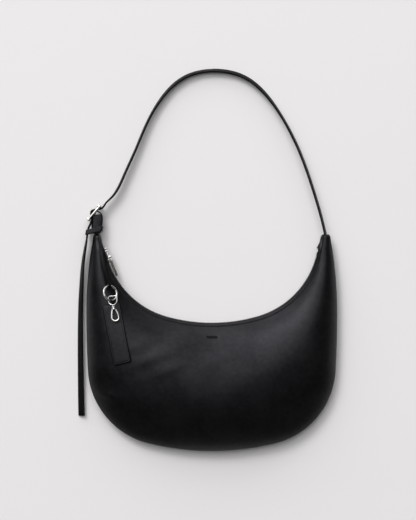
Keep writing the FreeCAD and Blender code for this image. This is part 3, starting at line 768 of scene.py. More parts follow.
WEAVE_DEPTH = 0.2
THREAD_SHADES = (0.7, 1.2)
THREAD_ROUGHNESS = 0.55
TWIST_SCALE = 3200.0
TWIST_DETAIL = 1.0
TWIST_ROUGHER = 0.2
TWIST_STRENGTH = 0.3
TWIST_DEPTH = 0.1
PAPER_SHADES = (0.985, 1.0)
PAPER_ROUGHNESS = 0.9
PAPER_SHEEN = 0.1
MOTTLE_SCALE = 5.0
MOTTLE_DETAIL = 4.0
MOTTLE_ROUGHER = 0.05


def leather_finish(name, colour, roughness, sheen, grain, depth, pressed=False):
    """Smooth satin leather: fine pebble grain, pores, soft unevenness and a slow change of sheen."""
    finish = Finish(name)
    where = finish.where()
    mark = finish.box_mask(where, MARK_CENTRE, MARK_HALF) if pressed else 0.0
    pebble = finish.node(
        "ShaderNodeTexVoronoi", {"feature": "DISTANCE_TO_EDGE"},
        {"Vector": where, "Scale": 1.0 / grain, "Randomness": 1.0}
    )
    pores = finish.noise(where, PORES_IN_PEBBLE / grain, NOISE_DETAIL, NOISE_ROUGHNESS)
    uneven = finish.noise(where, UNEVEN_IN_PEBBLE / grain, NOISE_DETAIL, NOISE_ROUGHNESS)
    broad = finish.noise(where, BROAD_SCALE, NOISE_DETAIL, BROAD_NOISE_ROUGHNESS)
    height = PEBBLE_HEIGHT * finish.ramp(pebble, 0.0, PEBBLE_EDGE_SHARE) + PORES_HEIGHT * pores
    height = height + UNEVEN_HEIGHT * uneven
    shade = finish.ramp(0.5 * broad + 0.5 * uneven, *LEATHER_SHADE_RANGE)
    coated = BROAD_COAT_SHARE * broad + UNEVEN_COAT_SHARE * uneven + PORES_COAT_SHARE * pores - mark
    coat = finish.ramp(coated, *LEATHER_COAT_RANGE)
    rougher = BROAD_ROUGHER * (broad - 0.5)
    return finish.set(
        Base_Color=finish.shades(shade, colour, LEATHER_SHADES),
        Roughness=roughness + rougher + PORES_ROUGHER * (pores - 0.5) + MARK_ROUGHER * mark,
        Specular_IOR_Level=sheen,
        Specular_Tint=LEATHER_TINT,
        Coat_Weight=LEATHER_COAT * coat,
        Coat_Roughness=LEATHER_COAT_ROUGHNESS,
        Normal=finish.bump(height, GRAIN_STRENGTH, depth),
    )


def edge_paint_finish(name, colour):
    """Matt paint on a cut leather edge."""
    finish = Finish(name)
    speck = finish.noise(finish.where(), EDGE_SPECK_SCALE)
    return finish.set(
        Base_Color=finish.shades(speck, colour, EDGE_SHADES),
        Roughness=EDGE_ROUGHNESS + EDGE_SPECK_ROUGHER * (speck - 0.5),
        Specular_IOR_Level=EDGE_SHEEN,
        Normal=finish.bump(speck, EDGE_SPECK_STRENGTH, EDGE_SPECK_DEPTH * MM),
    )


def metal_finish(name, colour, roughness):
    """Polished plated metal with faint smears and fine scratches."""
    finish = Finish(name)
    where = finish.where()
    smear = finish.noise(where, SMEAR_SCALE, NOISE_DETAIL, NOISE_ROUGHNESS)
    scratch = finish.noise(where, SCRATCH_SCALE, SCRATCH_DETAIL, SCRATCH_NOISE_ROUGHNESS)
    shade = finish.ramp(smear, *SMEAR_SHADE_RANGE)
    dull = finish.ramp(smear, *SMEAR_ROUGH_RANGE)
    return finish.set(
        Base_Color=finish.shades(shade, colour, METAL_SHADES),
        Metallic=1.0,
        Roughness=roughness + SMEAR_ROUGHER * dull + SCRATCH_ROUGHER * scratch,
        Normal=finish.bump(scratch, SCRATCH_STRENGTH, SCRATCH_DEPTH * MM),
    )


def cloth_finish(name, colour, pitch, roughness):
    """Plain woven cloth, its threads along the piece's own map in metres."""
    finish = Finish(name)
    threads = []
    for along in finish.across(finish.where("UV")):
        wave = finish.node("ShaderNodeMath", {"operation": "SINE"}, {0: along * (math.pi / pitch)})
        threads.append(wave * wave)
    height = finish.ramp(threads[0] * threads[1], *WEAVE_RANGE)
    return finish.set(
        Base_Color=finish.shades(height, colour, CLOTH_SHADES),
        Roughness=roughness,
        Specular_IOR_Level=CLOTH_SHEEN,
        Normal=finish.bump(height, WEAVE_STRENGTH, WEAVE_DEPTH * MM),
    )


def thread_finish(name, colour):
    """Waxed thread with a twist along it."""
    finish = Finish(name)
    twist = finish.noise(finish.where(), TWIST_SCALE, TWIST_DETAIL)
    return finish.set(
        Base_Color=finish.shades(twist, colour, THREAD_SHADES),
        Roughness=THREAD_ROUGHNESS + TWIST_ROUGHER * (twist - 0.5),
        Normal=finish.bump(twist, TWIST_STRENGTH, TWIST_DEPTH * MM),
    )


def floor_finish(name, colour):
    """Pale matt paper with a faint mottle."""
    finish = Finish(name)
    mottle = finish.noise(finish.where(), MOTTLE_SCALE, MOTTLE_DETAIL)
    return finish.set(
        Base_Color=finish.shades(mottle, colour, PAPER_SHADES),
        Roughness=PAPER_ROUGHNESS + MOTTLE_ROUGHER * (mottle - 0.5),
        Specular_IOR_Level=PAPER_SHEEN,
    )


def map_in_metres(piece, width, length):
    """Stretch the piece's own map so that it measures metres."""
    for loop in piece.data.uv_layers.active.data:
        loop.uv = (loop.uv[0] * length * MM, loop.uv[1] * width * MM)


# Settings
def colour_setting(label, about, value):
    return bpy.props.FloatVectorProperty(
        name=label, description=about, subtype="COLOR", size=3, min=0.0, max=1.0, default=value
    )


def length_setting(label, about, value):
    return bpy.props.FloatProperty(
        name=label, description=about, subtype="DISTANCE", unit="LENGTH", min=0.0, default=value * MM
    )


def share_setting(label, about, value):
    return bpy.props.FloatProperty(
        name=label, description=about, subtype="FACTOR", min=0.0, max=1.0, default=value
    )


def power_setting(label, about, value):
    return bpy.props.FloatProperty(name=label, description=about, min=0.0, default=value)


class LeatherSettings(bpy.types.PropertyGroup):
    """Leather of the body, strap and fob."""

    colour: colour_setting("Leather colour", "Colour of the dyed leather", (0.0026, 0.0026, 0.0030))
    roughness: share_setting("Leather roughness", "How matt the leather is", 0.37)
    sheen: share_setting("Leather sheen", "How strongly the leather mirrors the light", 0.16)
    grain: length_setting("Grain size", "Size of one pebble of the grain", 0.9)
    grain_depth: length_setting("Grain depth", "Depth of the grain", 0.06)
    edge: colour_setting("Edge paint colour", "Colour of the painted cut edges", (0.0030, 0.0028, 0.0029))


class StitchSettings(bpy.types.PropertyGroup):
    """Sewing along the mouth."""

    colour: colour_setting("Thread colour", "Colour of the sewing thread", (0.008, 0.008, 0.009))
    pitch: length_setting("Stitch pitch", "Distance from one stitch to the next", 3.4)
    radius: length_setting("Thread radius", "Half the thickness of the thread", 0.32)


class StrapSettings(bpy.types.PropertyGroup):
    """Shoulder strap and its tail."""

    width: length_setting("Strap width", "Width of the strap", 10.0)
    thickness: length_setting("Strap thickness", "Thickness of the strap", 2.4)
    lean: bpy.props.FloatProperty(
        name="Strap lean", description="How far the top of the arch leans over", subtype="ANGLE",
        unit="ROTATION", default=math.radians(24.0)
    )


class MetalSettings(bpy.types.PropertyGroup):
    """Plated hardware."""

    colour: colour_setting("Metal colour", "Colour of the plating", (0.58, 0.57, 0.55))
    roughness: share_setting("Metal roughness", "How matt the plating is", 0.16)


class ClothSettings(bpy.types.PropertyGroup):
    """Lining cloth and zip tape."""

    lining: colour_setting("Lining colour", "Colour of the lining cloth", (0.020, 0.020, 0.022))
    tape: colour_setting("Tape colour", "Colour of the zip tape", (0.008, 0.008, 0.009))
    weave: length_setting("Weave pitch", "Distance from thread to thread", 0.5)


class StageSettings(bpy.types.PropertyGroup):
    """Floor and light."""

    floor: colour_setting("Floor colour", "Colour of the paper under the bag", (0.80, 0.783, 0.788))
    key: power_setting("Key light", "Power of the key light in watts", 620.0)
    panel: power_setting("Panel light", "Power of the wide panel in watts", 1480.0)
    low: power_setting("Low light", "Power of the low panel in watts", 1150.0)
    sky: share_setting("Surroundings", "Strength of the even light from all round", 0.13)


class BagSettings(bpy.types.PropertyGroup):
    """All settings of the bag."""

    leather: bpy.props.PointerProperty(type=LeatherSettings)
    stitch: bpy.props.PointerProperty(type=StitchSettings)
    strap: bpy.props.PointerProperty(type=StrapSettings)
    metal: bpy.props.PointerProperty(type=MetalSettings)
    cloth: bpy.props.PointerProperty(type=ClothSettings)
    stage: bpy.props.PointerProperty(type=StageSettings)


def settings():
    return bpy.context.scene.half_moon_bag


def shared(name, make):
    """A material made once and then reused."""
    return bpy.data.materials.get(name) or make(name)


# How the leather of the small goods and of the strap differs from that of the body
SMALL_GRAIN_SHARE = 0.7
SMALL_ROUGHER = -0.04
SMALL_SHEEN_SHARE = 1.4
STRAP_ROUGHER = 0.1
STRAP_SHEEN_SHARE = 0.35


def leather():
    look = settings().leather
    return shared("black leather", lambda name: leather_finish(
        name, tuple(look.colour), look.roughness, look.sheen, look.grain, look.grain_depth, True
    ))


def small_leather(name, rougher, sheen_share):
    look = settings().leather
    return shared(name, lambda name: leather_finish(
        name, tuple(look.edge), look.roughness + rougher, sheen_share * look.sheen,
        SMALL_GRAIN_SHARE * look.grain, look.grain_depth
    ))


def edge_leather():
    return small_leather("small leather goods", SMALL_ROUGHER, SMALL_SHEEN_SHARE)


def strap_leather():
    return small_leather("strap leather", STRAP_ROUGHER, STRAP_SHEEN_SHARE)


def edge_paint():
    return shared("edge paint", lambda name: edge_paint_finish(name, tuple(settings().leather.edge)))


def metal():
    look = settings().metal
    return shared("polished metal", lambda name: metal_finish(name, tuple(look.colour), look.roughness))


LINING_ROUGHNESS = 0.8
TAPE_ROUGHNESS = 0.75
TAPE_WEAVE_SHARE = 1.4


def lining_cloth():
    look = settings().cloth
    return shared("lining cloth", lambda name: cloth_finish(
        name, tuple(look.lining), look.weave, LINING_ROUGHNESS
    ))


def tape_cloth():
    look = settings().cloth
    return shared("zip tape", lambda name: cloth_finish(
        name, tuple(look.tape), TAPE_WEAVE_SHARE * look.weave, TAPE_ROUGHNESS
    ))


def thread():
    look = settings().stitch
    return shared("sewing thread", lambda name: thread_finish(name, tuple(look.colour)))


# Body
PANEL_COLUMNS = 340
PANEL_ROWS = 132
COLUMN_GATHER_SHARE = 0.045


def gathered(x):
    """Columns drawn closer at the horns and in the middle."""
    return x - COLUMN_GATHER_SHARE * math.sin(4.0 * math.pi * x)


def make_panel(name, side):
    piece = grid(name, PANEL_COLUMNS, PANEL_ROWS)
    shape(piece, lambda x, y: panel_point(gathered(x), y, side))
    middle = (PANEL_ROWS // 3) * PANEL_COLUMNS + PANEL_COLUMNS // 2
    face_towards(piece, middle, (0, 0, side))
    thicken(piece, LEATHER, offset=-1.0)
    return piece


TIP_RISE = 7.4
TIP_ROWS = 18
TIP_SIDE_POINTS = 44
TIP_MOUTH_POINTS = 12
TIP_SMOOTH_ANGLE = math.radians(60.0)
TIP_POWER = 0.78
TIP_DIP = 1.3
TIP_DIP_HALF = 2.6


def tip_outline(sign):
    """Section of the horn's end: front, then back, then across the mouth."""
    t = 0.0 if sign < 0 else 1.0
    shares = spread(0.0, 1.0, TIP_SIDE_POINTS)
    front = [panel_point(t, share, 1) for share in shares]
    back = [panel_point(t, share, -1) for share in reversed(shares)]
    closing = [back[-1].lerp(front[0], share) for share in spread(0.0, 1.0, TIP_MOUTH_POINTS)[1:]]
    return front + back[1:] + closing


def make_horn_tip(name, sign):
    outline = tip_outline(sign)
    centre = drawn_in(Vector((sign * HORN_X, HORN_HEIGHT, SEAM_HEIGHT)))
    piece = grid(name, len(outline) - 1, TIP_ROWS)

    def tip_point(x, y):
        section = outline[round(x * (len(outline) - 1))]
        turn = y * math.pi / 2
        point = centre + (section - centre) * max(math.cos(turn), 0.0) ** TIP_POWER
        dip = TIP_DIP * bell(point.x - centre.x, TIP_DIP_HALF) * math.sin(turn) ** 3
        point.y = HORN_HEIGHT + TIP_RISE * math.sin(turn) - dip
        return point

    shape(piece, tip_point)
    weld(piece)
    close(piece)
    smooth(piece, TIP_SMOOTH_ANGLE)
    return piece


class BAG_OT_body(bpy.types.Operator):
    """Model the leather front, back and horn tips"""

    bl_idname = "half_moon.body"
    bl_label = "Leather body"

    def execute(self, context):
        skin = leather()
        finish_piece(make_panel("bag_front", 1), "bag", "black_leather", skin, "front_panel")
        finish_piece(make_panel("bag_back", -1), "bag", "black_leather", skin, "back_panel")
        for sign, side in ((-1, "left"), (1, "right")):
            tip = make_horn_tip("horn_end_" + side, sign)
            finish_piece(tip, "bag", "black_leather", skin, "horn_tip_" + side)
        return {"FINISHED"}


LINING = 0.5
LINING_INSET = 2.3
LINING_T_SHARES = (0.0, 1.0)
LINING_U_SHARES = (0.08, 0.96)
LINING_GRID = (140, 44)
LINING_MAP_LENGTH = 4 * HALF_WIDTH
POCKET_INSET = 3.2
POCKET_T_SHARES = (0.36, 0.64)
POCKET_U_SHARES = (0.2, 0.72)
POCKET_GRID = (60, 28)


def lining_point(t, u, side, inset):
    """Point of the lining, inside the leather by an inset."""
    mouth, rim, q = edge_points(t)
    across = rim - mouth
    width = across.length
    crown_run = crown_share(t) * width
    run, depth = profile(u, width, crown_run, lip_depth(q) - inset, crown_depth(q, side) - inset, inset)
    flat = mouth + across * (run / width)
    return drawn_in(Vector((flat.x, flat.y, max(SEAM_HEIGHT + side * depth, inset))))


def make_lining(name, side, t_shares, u_shares, inset, columns, rows):
    first_t, last_t = t_shares
    first_u, last_u = u_shares
    piece = grid(name, columns, rows)
    shape(piece, lambda x, y: lining_point(
        first_t + (last_t - first_t) * x, first_u + (last_u - first_u) * y, side, inset
    ))
    map_in_metres(piece, HALF_WIDTH, LINING_MAP_LENGTH * (last_t - first_t))
    face_towards(piece, rows // 2 * columns + columns // 2, (0, 0, -side))
    thicken(piece, LINING, offset=1.0)
    return piece


class BAG_OT_lining(bpy.types.Operator):
    """Model the cloth lining and its slip pocket"""

    bl_idname = "half_moon.lining"
    bl_label = "Lining and pocket"

    def execute(self, context):
        cloth = lining_cloth()
        for side, where in ((1, "front"), (-1, "back")):
            piece = make_lining(
                "lining_" + where, side, LINING_T_SHARES, LINING_U_SHARES, LINING_INSET, *LINING_GRID
            )
            finish_piece(piece, "bag", "lining_cloth", cloth, where + "_lining")
        pocket = make_lining(
            "inner_pocket", -1, POCKET_T_SHARES, POCKET_U_SHARES, POCKET_INSET, *POCKET_GRID
        )
        finish_piece(pocket, "bag", "lining_cloth", cloth, "slip_pocket")
        return {"FINISHED"}


# Zip line
ZIP_SIDE_RADIUS = MOUTH_RADIUS + TAPE_OFFSET
ZIP_LOW_RADIUS = MOUTH_LOW_RADIUS + TAPE_OFFSET
ZIP_SIDE_LENGTH = ZIP_SIDE_RADIUS * abs(MOUTH_TURN + ZIP_START_ANGLE)
ZIP_LOW_LENGTH = ZIP_LOW_RADIUS * 2 * (MOUTH_TURN + math.pi / 2)
ZIP_LENGTH = 2 * ZIP_SIDE_LENGTH + ZIP_LOW_LENGTH
SLIDER_DISTANCE = ZIP_SIDE_RADIUS * (SLIDER_ANGLE - ZIP_START_ANGLE)


def zip_place(distance):
    """Point and outward angle on the zip's line, at a distance from its left end."""
    if distance < ZIP_SIDE_LENGTH:
        angle = math.pi + ZIP_START_ANGLE + distance / ZIP_SIDE_RADIUS
        return polar(mirrored(MOUTH_SIDE), ZIP_SIDE_RADIUS, angle), angle
    if distance < ZIP_SIDE_LENGTH + ZIP_LOW_LENGTH:
        angle = math.pi - MOUTH_TURN + (distance - ZIP_SIDE_LENGTH) / ZIP_LOW_RADIUS
        return polar(MOUTH_LOW, ZIP_LOW_RADIUS, angle), angle
    angle = -ZIP_START_ANGLE - (ZIP_LENGTH - distance) / ZIP_SIDE_RADIUS
    return polar(MOUTH_SIDE, ZIP_SIDE_RADIUS, angle), angle


def zip_matrix(distance, height=SEAM_HEIGHT):
    """Frame on the zip's line: X into the bag, Y along the zip, Z off the front."""
    point, angle = zip_place(distance)
    return set_at((point.x, point.y, height), angle)


TAPE_COLUMNS = 220
TAPE_ROWS = 6
TOOTH_SIZE = (2.4, 1.75, 2.3)
TOOTH_ROUNDING = 0.4
TOOTH_SHIFT = 0.1
STOP_SIZE = (2.4, 2.4, 2.6)
STOP_ROUNDING = 0.5

# More blocks of the left stop: (distance along the zip, distance out of the bag)
STOP_BLOCKS = ((2.4, 1.7), (-1.4, 1.0), (5.6, 2.2))


def make_tape(name, side):
    piece = grid(name, TAPE_COLUMNS, TAPE_ROWS)

    def tape_point(x, y):
        height = TAPE_EDGE_GAP + (TAPE_TOP - TAPE_EDGE_GAP) * y
        return drawn_in(zip_matrix(x * ZIP_LENGTH, SEAM_HEIGHT + side * height).translation)

    shape(piece, tape_point)
    map_in_metres(piece, TAPE_TOP - TAPE_EDGE_GAP, ZIP_LENGTH)
    thicken(piece, TAPE_THICKNESS, rounding=TAPE_ROUNDING)
    return piece


def make_teeth(name, side):
    """One row of rounded teeth, with room for the slider, the back row half a pitch on."""
    unit = rounded_block("tooth", TOOTH_SIZE, (0, 0, 0), TOOTH_ROUNDING, 1)
    first = STOP_SIZE[1] + TOOTH_PITCH * (1.0 if side > 0 else 1.5)
    count = int((ZIP_LENGTH - 2 * STOP_SIZE[1] - 2 * TOOTH_PITCH) / TOOTH_PITCH)
    places = []
    for k in range(count):
        distance = first + k * TOOTH_PITCH
        if abs(distance - SLIDER_DISTANCE) > SLIDER_HALF_LENGTH + TOOTH_SIZE[1]:
            places.append(zip_matrix(distance, SEAM_HEIGHT + TOOTH_SHIFT * side))
    return copies(name, unit, places)


END_TAB_SIZE = (3.4, 11.6, 8.4)
END_TAB_SHIFT = 1.0
END_TAB_ROUNDING = 0.5
END_TAB_ANGLE = math.radians(6.4)
END_TAB_FLARES = {-1: 0.6, 1: 2.6}


def make_end_tab(name, sign):
    """Folded leather end over the zip."""
    piece = rounded_block(name, END_TAB_SIZE, (END_TAB_SHIFT, 0, 0), END_TAB_ROUNDING)
    centre, angle = MOUTH_SIDE, -END_TAB_ANGLE
    if sign < 0:
        centre, angle = mirrored(MOUTH_SIDE), math.pi + END_TAB_ANGLE
    point = polar(centre, ZIP_SIDE_RADIUS, angle)
    matrix = set_at((point.x, point.y, SEAM_HEIGHT), angle)
    for vertex in piece.data.vertices:
        if vertex.co.x < 0:
            vertex.co.x -= END_TAB_FLARES[sign] * ease(0.5 - sign * vertex.co.y / END_TAB_SIZE[1])
        vertex.co = drawn_in(matrix @ vertex.co) * MM
    piece.data.update()
    return piece


class BAG_OT_zip(bpy.types.Operator):
    """Model the zip's tapes, teeth, stops and end tabs"""

    bl_idname = "half_moon.zip"
    bl_label = "Zip"

    def execute(self, context):
        for side, where in ((1, "front"), (-1, "back")):
            tape = make_tape("tape_" + where, side)
            finish_piece(tape, "bag", "zip_tape", tape_cloth(), "zip_tape_" + where)
            teeth = make_teeth("teeth_" + where, side)
            finish_piece(teeth, "bag", "polished_metal", metal(), "zip_teeth_" + where)
        unit = rounded_block("stop", STOP_SIZE, (0, 0, 0), STOP_ROUNDING, 2)
        ends = [zip_matrix(distance) for distance in (STOP_SIZE[1], ZIP_LENGTH - STOP_SIZE[1])]
        for distance, out in STOP_BLOCKS:
            ends.append(zip_matrix(distance) @ Matrix.Translation((-out, 0, 0)))
        stops = copies("end_stops", unit, ends)
        finish_piece(stops, "bag", "polished_metal", metal(), "zip_stops")
        for sign, where in ((-1, "left"), (1, "right")):
            tab = make_end_tab("zip_tab_" + where, sign)
            finish_piece(tab, "bag", "black_leather", edge_leather(), "zip_end_tab_" + where)
        return {"FINISHED"}


# Slider, in the zip's frame at its place
PLATE_GAP = 1.4
PLATE = 1.2
PLATE_ROUNDING = 0.45
PLATE_TAPER_SHARE = 0.72
SLIDER_HALF_HEIGHT = 5.2
POST_SIZE = (2 * PLATE_GAP + PLATE, 2.2, 1.8)
POST_INSET = 2.4
POST_ROUNDING = 0.3
LUG_SIZE = (5.6, 3.4, 1.2)
LUG_OUT = 2.6
LUG_GAP = 0.9
LUG_ROUNDING = 0.5
PIN_OFFSET = 4.8
PIN_RADIUS = 0.8
PIN_OVERHANG = 2.6
PIN_ROUNDING = 0.25
PULL_START = 1.6
PULL_LENGTH = 28.6
PULL_WIDTH = 3.6
PULL_THICKNESS = 1.6
PULL_ROUNDING = 0.45
PULL_COLUMNS = 40
PULL_LEAN = math.radians(7.0)
PULL_NECK = 2.0
PULL_NECK_RUN = 4.0
PULL_NECK_SHARE = 0.62
PULL_TIP_LEAST = 0.1
PULL_SLOT = (7.0, 22.5)
PULL_SLOT_HALF = 0.75
PULL_SLOT_RIM = 0.1
PULL_ROLL = math.radians(48.0)
PULL_ROLL_RUN = 5.0
PULL_SET = 1.5
PULL_SET_RUN = 9.0
PULL_EYE_RADIUS = 1.3
PULL_EYE_WIRE = 0.5
PULL_EYE_WIDEN = 3.0
PULL_EYE_POINTS = 33


def make_slider():
    """Two tapered plates, the post between them, and the lugs that hold the pull's pin."""
    parts = []
    for sign in (-1, 1):
        size = (PLATE, 2 * SLIDER_HALF_LENGTH, 2 * SLIDER_HALF_HEIGHT)
        plate = rounded_block("slider_plate", size, (sign * (PLATE_GAP + PLATE / 2), 0, 0), PLATE_ROUNDING)
        for vertex in plate.data.vertices:
            if vertex.co.y < 0:
                vertex.co.z *= PLATE_TAPER_SHARE
        plate.data.update()
        parts.append(plate)
    centre = (0, SLIDER_HALF_LENGTH - POST_INSET, 0)
    parts.append(rounded_block("slider_post", POST_SIZE, centre, POST_ROUNDING))
    for sign in (-1, 1):
        centre = (-PLATE_GAP - LUG_OUT, 0, sign * (PULL_WIDTH / 2 + LUG_GAP))
        parts.append(rounded_block("slider_lug", LUG_SIZE, centre, LUG_ROUNDING))
    length = PULL_WIDTH + PIN_OVERHANG
    parts.append(rounded_bar("slider_pin", PIN_RADIUS, length, (-PIN_OFFSET, 0, 0), PIN_ROUNDING))
    return join("slider_body", *parts)


def make_pull():
    """Slim pull with a long slot, rolled a little towards the front, on a round eye."""
    half = PULL_WIDTH / 2
    rim = PULL_SLOT_HALF + PULL_SLOT_RIM
    rows = (-half, -rim, -PULL_SLOT_HALF, PULL_SLOT_HALF, rim, half)
    last = len(rows) - 1
    bar = grid("zip_pull_bar", PULL_COLUMNS, last)

    def bar_point(x, y):
        run = PULL_START + (PULL_LENGTH - PULL_START) * x
        end = max(run - (PULL_LENGTH - half), 0.0)
        narrow = math.sqrt(max(half ** 2 - end ** 2, PULL_TIP_LEAST ** 2)) / half
        neck = PULL_NECK_SHARE + (1.0 - PULL_NECK_SHARE) * ease((run - PULL_NECK) / PULL_NECK_RUN)
        across = rows[round(y * last)] * narrow * neck
        roll = PULL_ROLL * ease((run - PULL_START) / PULL_ROLL_RUN)
        out = PULL_SET * ease((run - PULL_NECK) / PULL_SET_RUN)
        return Vector((out + across * math.sin(roll), run, across * math.cos(roll)))

    def in_slot(face):
        first, end = PULL_SLOT
        return first * MM < face.center.y < end * MM and abs(face.center.z) < PULL_SLOT_RIM * MM

    shape(bar, bar_point)
    drop_faces(bar, in_slot)
    thicken(bar, PULL_THICKNESS, rounding=PULL_ROUNDING, segments=3)
    circle = arc(Vector(), PULL_EYE_RADIUS, 0.0, 2 * math.pi, PULL_EYE_POINTS)[:-1]
    eye = wire("pull_eye", circle, PULL_EYE_WIRE, True)
    for vertex in eye.data.vertices:
        vertex.co.z *= PULL_EYE_WIDEN
    smooth(eye)
    return join("slider_pull", in_millimetres(bar), eye)


class BAG_OT_slider(bpy.types.Operator):
    """Model the zip slider and its pull"""

    bl_idname = "half_moon.slider"
    bl_label = "Slider and pull"

    def execute(self, context):
        seat = zip_matrix(SLIDER_DISTANCE)
        finish_piece(make_slider(), "slider", "polished_metal", metal(), "zip_slider", at=seat)
        hang = seat @ set_at((-PIN_OFFSET, 0, 0), PULL_LEAN)
        finish_piece(make_pull(), "pull", "polished_metal", metal(), "zip_pull", at=hang)
        return {"FINISHED"}


# Strap route
BUCKLE_CENTRE = Vector((-HORN_X - BUCKLE_OUT, HORN_HEIGHT + BUCKLE_RISE, SEAM_HEIGHT))
ALONG = Vector((math.cos(BUCKLE_ANGLE), math.sin(BUCKLE_ANGLE), 0))
OUTWARD = Vector((-ALONG.y, ALONG.x, 0))


def let_down_matrix():
    """Turn that lets the level strap down until it lies on the floor."""
    drop = SEAM_HEIGHT - settings().strap.width / MM / 2 - FLOOR_GAP
    droop = math.asin(drop / STRAP_REACH)
    horns = Vector((0, HORN_HEIGHT, SEAM_HEIGHT))
    return set_at(horns, -droop, "X") @ Matrix.Translation(-horns)


def at_buckle(run, out):
    return BUCKLE_CENTRE + ALONG * run + OUTWARD * out


def tail_turn(share):
    """How far the tail is turned over at a share of its drop."""
    return float(np.interp(share, TAIL_TURN_SHARES, TAIL_TURNS))


def strap_route():
    """Points of the whole strap: right horn, arch, buckle, keeper and tail."""
    down = let_down_matrix()
    points = [
        Vector((x * HORN_X, HORN_HEIGHT + y * STRAP_REACH, SEAM_HEIGHT)) for x, y in STRAP_ROUTE_SHARES
    ]
    points += [at_buckle(run, out) for run, out in WEAVE]
    points = [down @ point for point in points]
    start = points[-1]
    strap = settings().strap
    for share, bow in TAIL_ROUTE_SHARES:
        twist = tail_turn(share)
        rest = FLOOR_GAP + (strap.width * math.cos(twist) + strap.thickness * math.sin(twist)) / MM / 2
        height = start.z + (rest - start.z) * ease(share / TAIL_LAND_SHARE)
        points.append(Vector((start.x - TAIL_BOW * bow, start.y - TAIL_DROP * share, height)))
    return points, start


def smooth_line(points, per_span):
    """Points of a cubic spline through points, by their distances."""
    array = np.array([tuple(point) for point in points])
    knots = np.concatenate(([0.0], np.cumsum(np.linalg.norm(np.diff(array, axis=0), axis=1))))
    gaps = np.diff(knots)
    count = len(points)
    system = np.eye(count)
    right = np.zeros((count, 3))
    for k in range(1, count - 1):
        system[k, k - 1:k + 2] = gaps[k - 1], 2 * (gaps[k - 1] + gaps[k]), gaps[k]
        right[k] = 6 * ((array[k + 1] - array[k]) / gaps[k] - (array[k] - array[k - 1]) / gaps[k - 1])
    bend = np.linalg.solve(system, right)
    line = []
    for k in range(count - 1):
        for share in np.linspace(0.0, 1.0, per_span, endpoint=False):
            a, b = 1.0 - share, share
            point = a * array[k] + b * array[k + 1]
            point = point + ((a ** 3 - a) * bend[k] + (b ** 3 - b) * bend[k + 1]) * gaps[k] ** 2 / 6
            line.append(Vector(point))
    line.append(Vector(points[-1]))
    return line


def strap_lean(point, start):
    """Lean of the strap: on edge, over at the arch, and twisting flat down the tail."""
    if point.y < start.y:
        return tail_turn((start.y - point.y) / TAIL_DROP)
    arch = (point.y - HORN_HEIGHT) / STRAP_REACH
    left = ease((arch - LEFT_LEAN_START_SHARE) / LEFT_LEAN_RUN_SHARE)
    flank = FLANK_LEAN * (RIGHT_FLANK_SHARE if point.x > 0 else left)
    over = ease((arch - ARCH_LEAN_START_SHARE) / ARCH_LEAN_RUN_SHARE)
    return flank + (settings().strap.lean - FLANK_LEAN) * over


RIBBON_ROW_SHARES = (-1.0, -0.3, 0.3, 1.0)
RIBBON_ROUNDING_SHARE = 0.28


def make_ribbon(name, line, leans, half_width, thickness, slot_test=None):
    """Flat strap along a line, with rounded edges and, if asked, a slot in its middle."""
    last = len(line) - 1
    last_row = len(RIBBON_ROW_SHARES) - 1
    piece = grid(name, last, last_row)

    def strap_point(x, y):
        k = round(x * last)
        ahead = line[min(k + 1, last)] - line[max(k - 1, 0)]
        inward = Vector((-ahead.y, ahead.x, 0)).normalized()
        up = Vector((0, 0, math.cos(leans[k]))) + inward * math.sin(leans[k])
        return line[k] + up * (half_width * RIBBON_ROW_SHARES[round(y * last_row)])

    shape(piece, strap_point)
    if slot_test:
        drop_faces(piece, slot_test)
    thicken(piece, thickness, rounding=RIBBON_ROUNDING_SHARE * thickness, segments=3)
    return piece


STRAP_STEPS = 12
HORN_BITE = 4.6
KEEPER_RISE = 9.4
SLOT_RUN = (-2.6, 9.4)
SLOT_OUT = 8.0
SLOT_HALF_WIDTH = 1.0


class BAG_OT_strap(bpy.types.Operator):
    """Model the shoulder strap and its hanging tail"""

    bl_idname = "half_moon.strap"
    bl_label = "Strap"

    def execute(self, context):
        strap = settings().strap
        half = strap.width / MM / 2
        thickness = strap.thickness / MM
        points, start = strap_route()
        line = smooth_line(points, STRAP_STEPS)
        horn = Vector((HORN_X, HORN_HEIGHT, SEAM_HEIGHT))
        line = [point for point in line if (point - horn).length > HORN_BITE]
        leans = [strap_lean(point, start) for point in line]
        split = next(
            k for k, point in enumerate(line) if point.x < -HORN_X and point.y < HORN_HEIGHT + KEEPER_RISE
        )
        level = let_down_matrix().inverted()

        def in_slot(face):
            at = level @ (face.center / MM) - BUCKLE_CENTRE
            near = abs(at.dot(OUTWARD)) < SLOT_OUT and abs(at.z) < SLOT_HALF_WIDTH
            return near and SLOT_RUN[0] < at.dot(ALONG) < SLOT_RUN[1]

        band = make_ribbon("shoulder_strap", line[:split + 1], leans[:split + 1], half, thickness, in_slot)
        finish_piece(band, "strap", "black_leather", strap_leather(), "strap_band")
        tail = make_ribbon("hanging_tail", line[split:], leans[split:], half, thickness)
        tail.data.materials.append(strap_leather())
        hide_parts("strap_tail")
        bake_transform(tail)
        return {"FINISHED"}


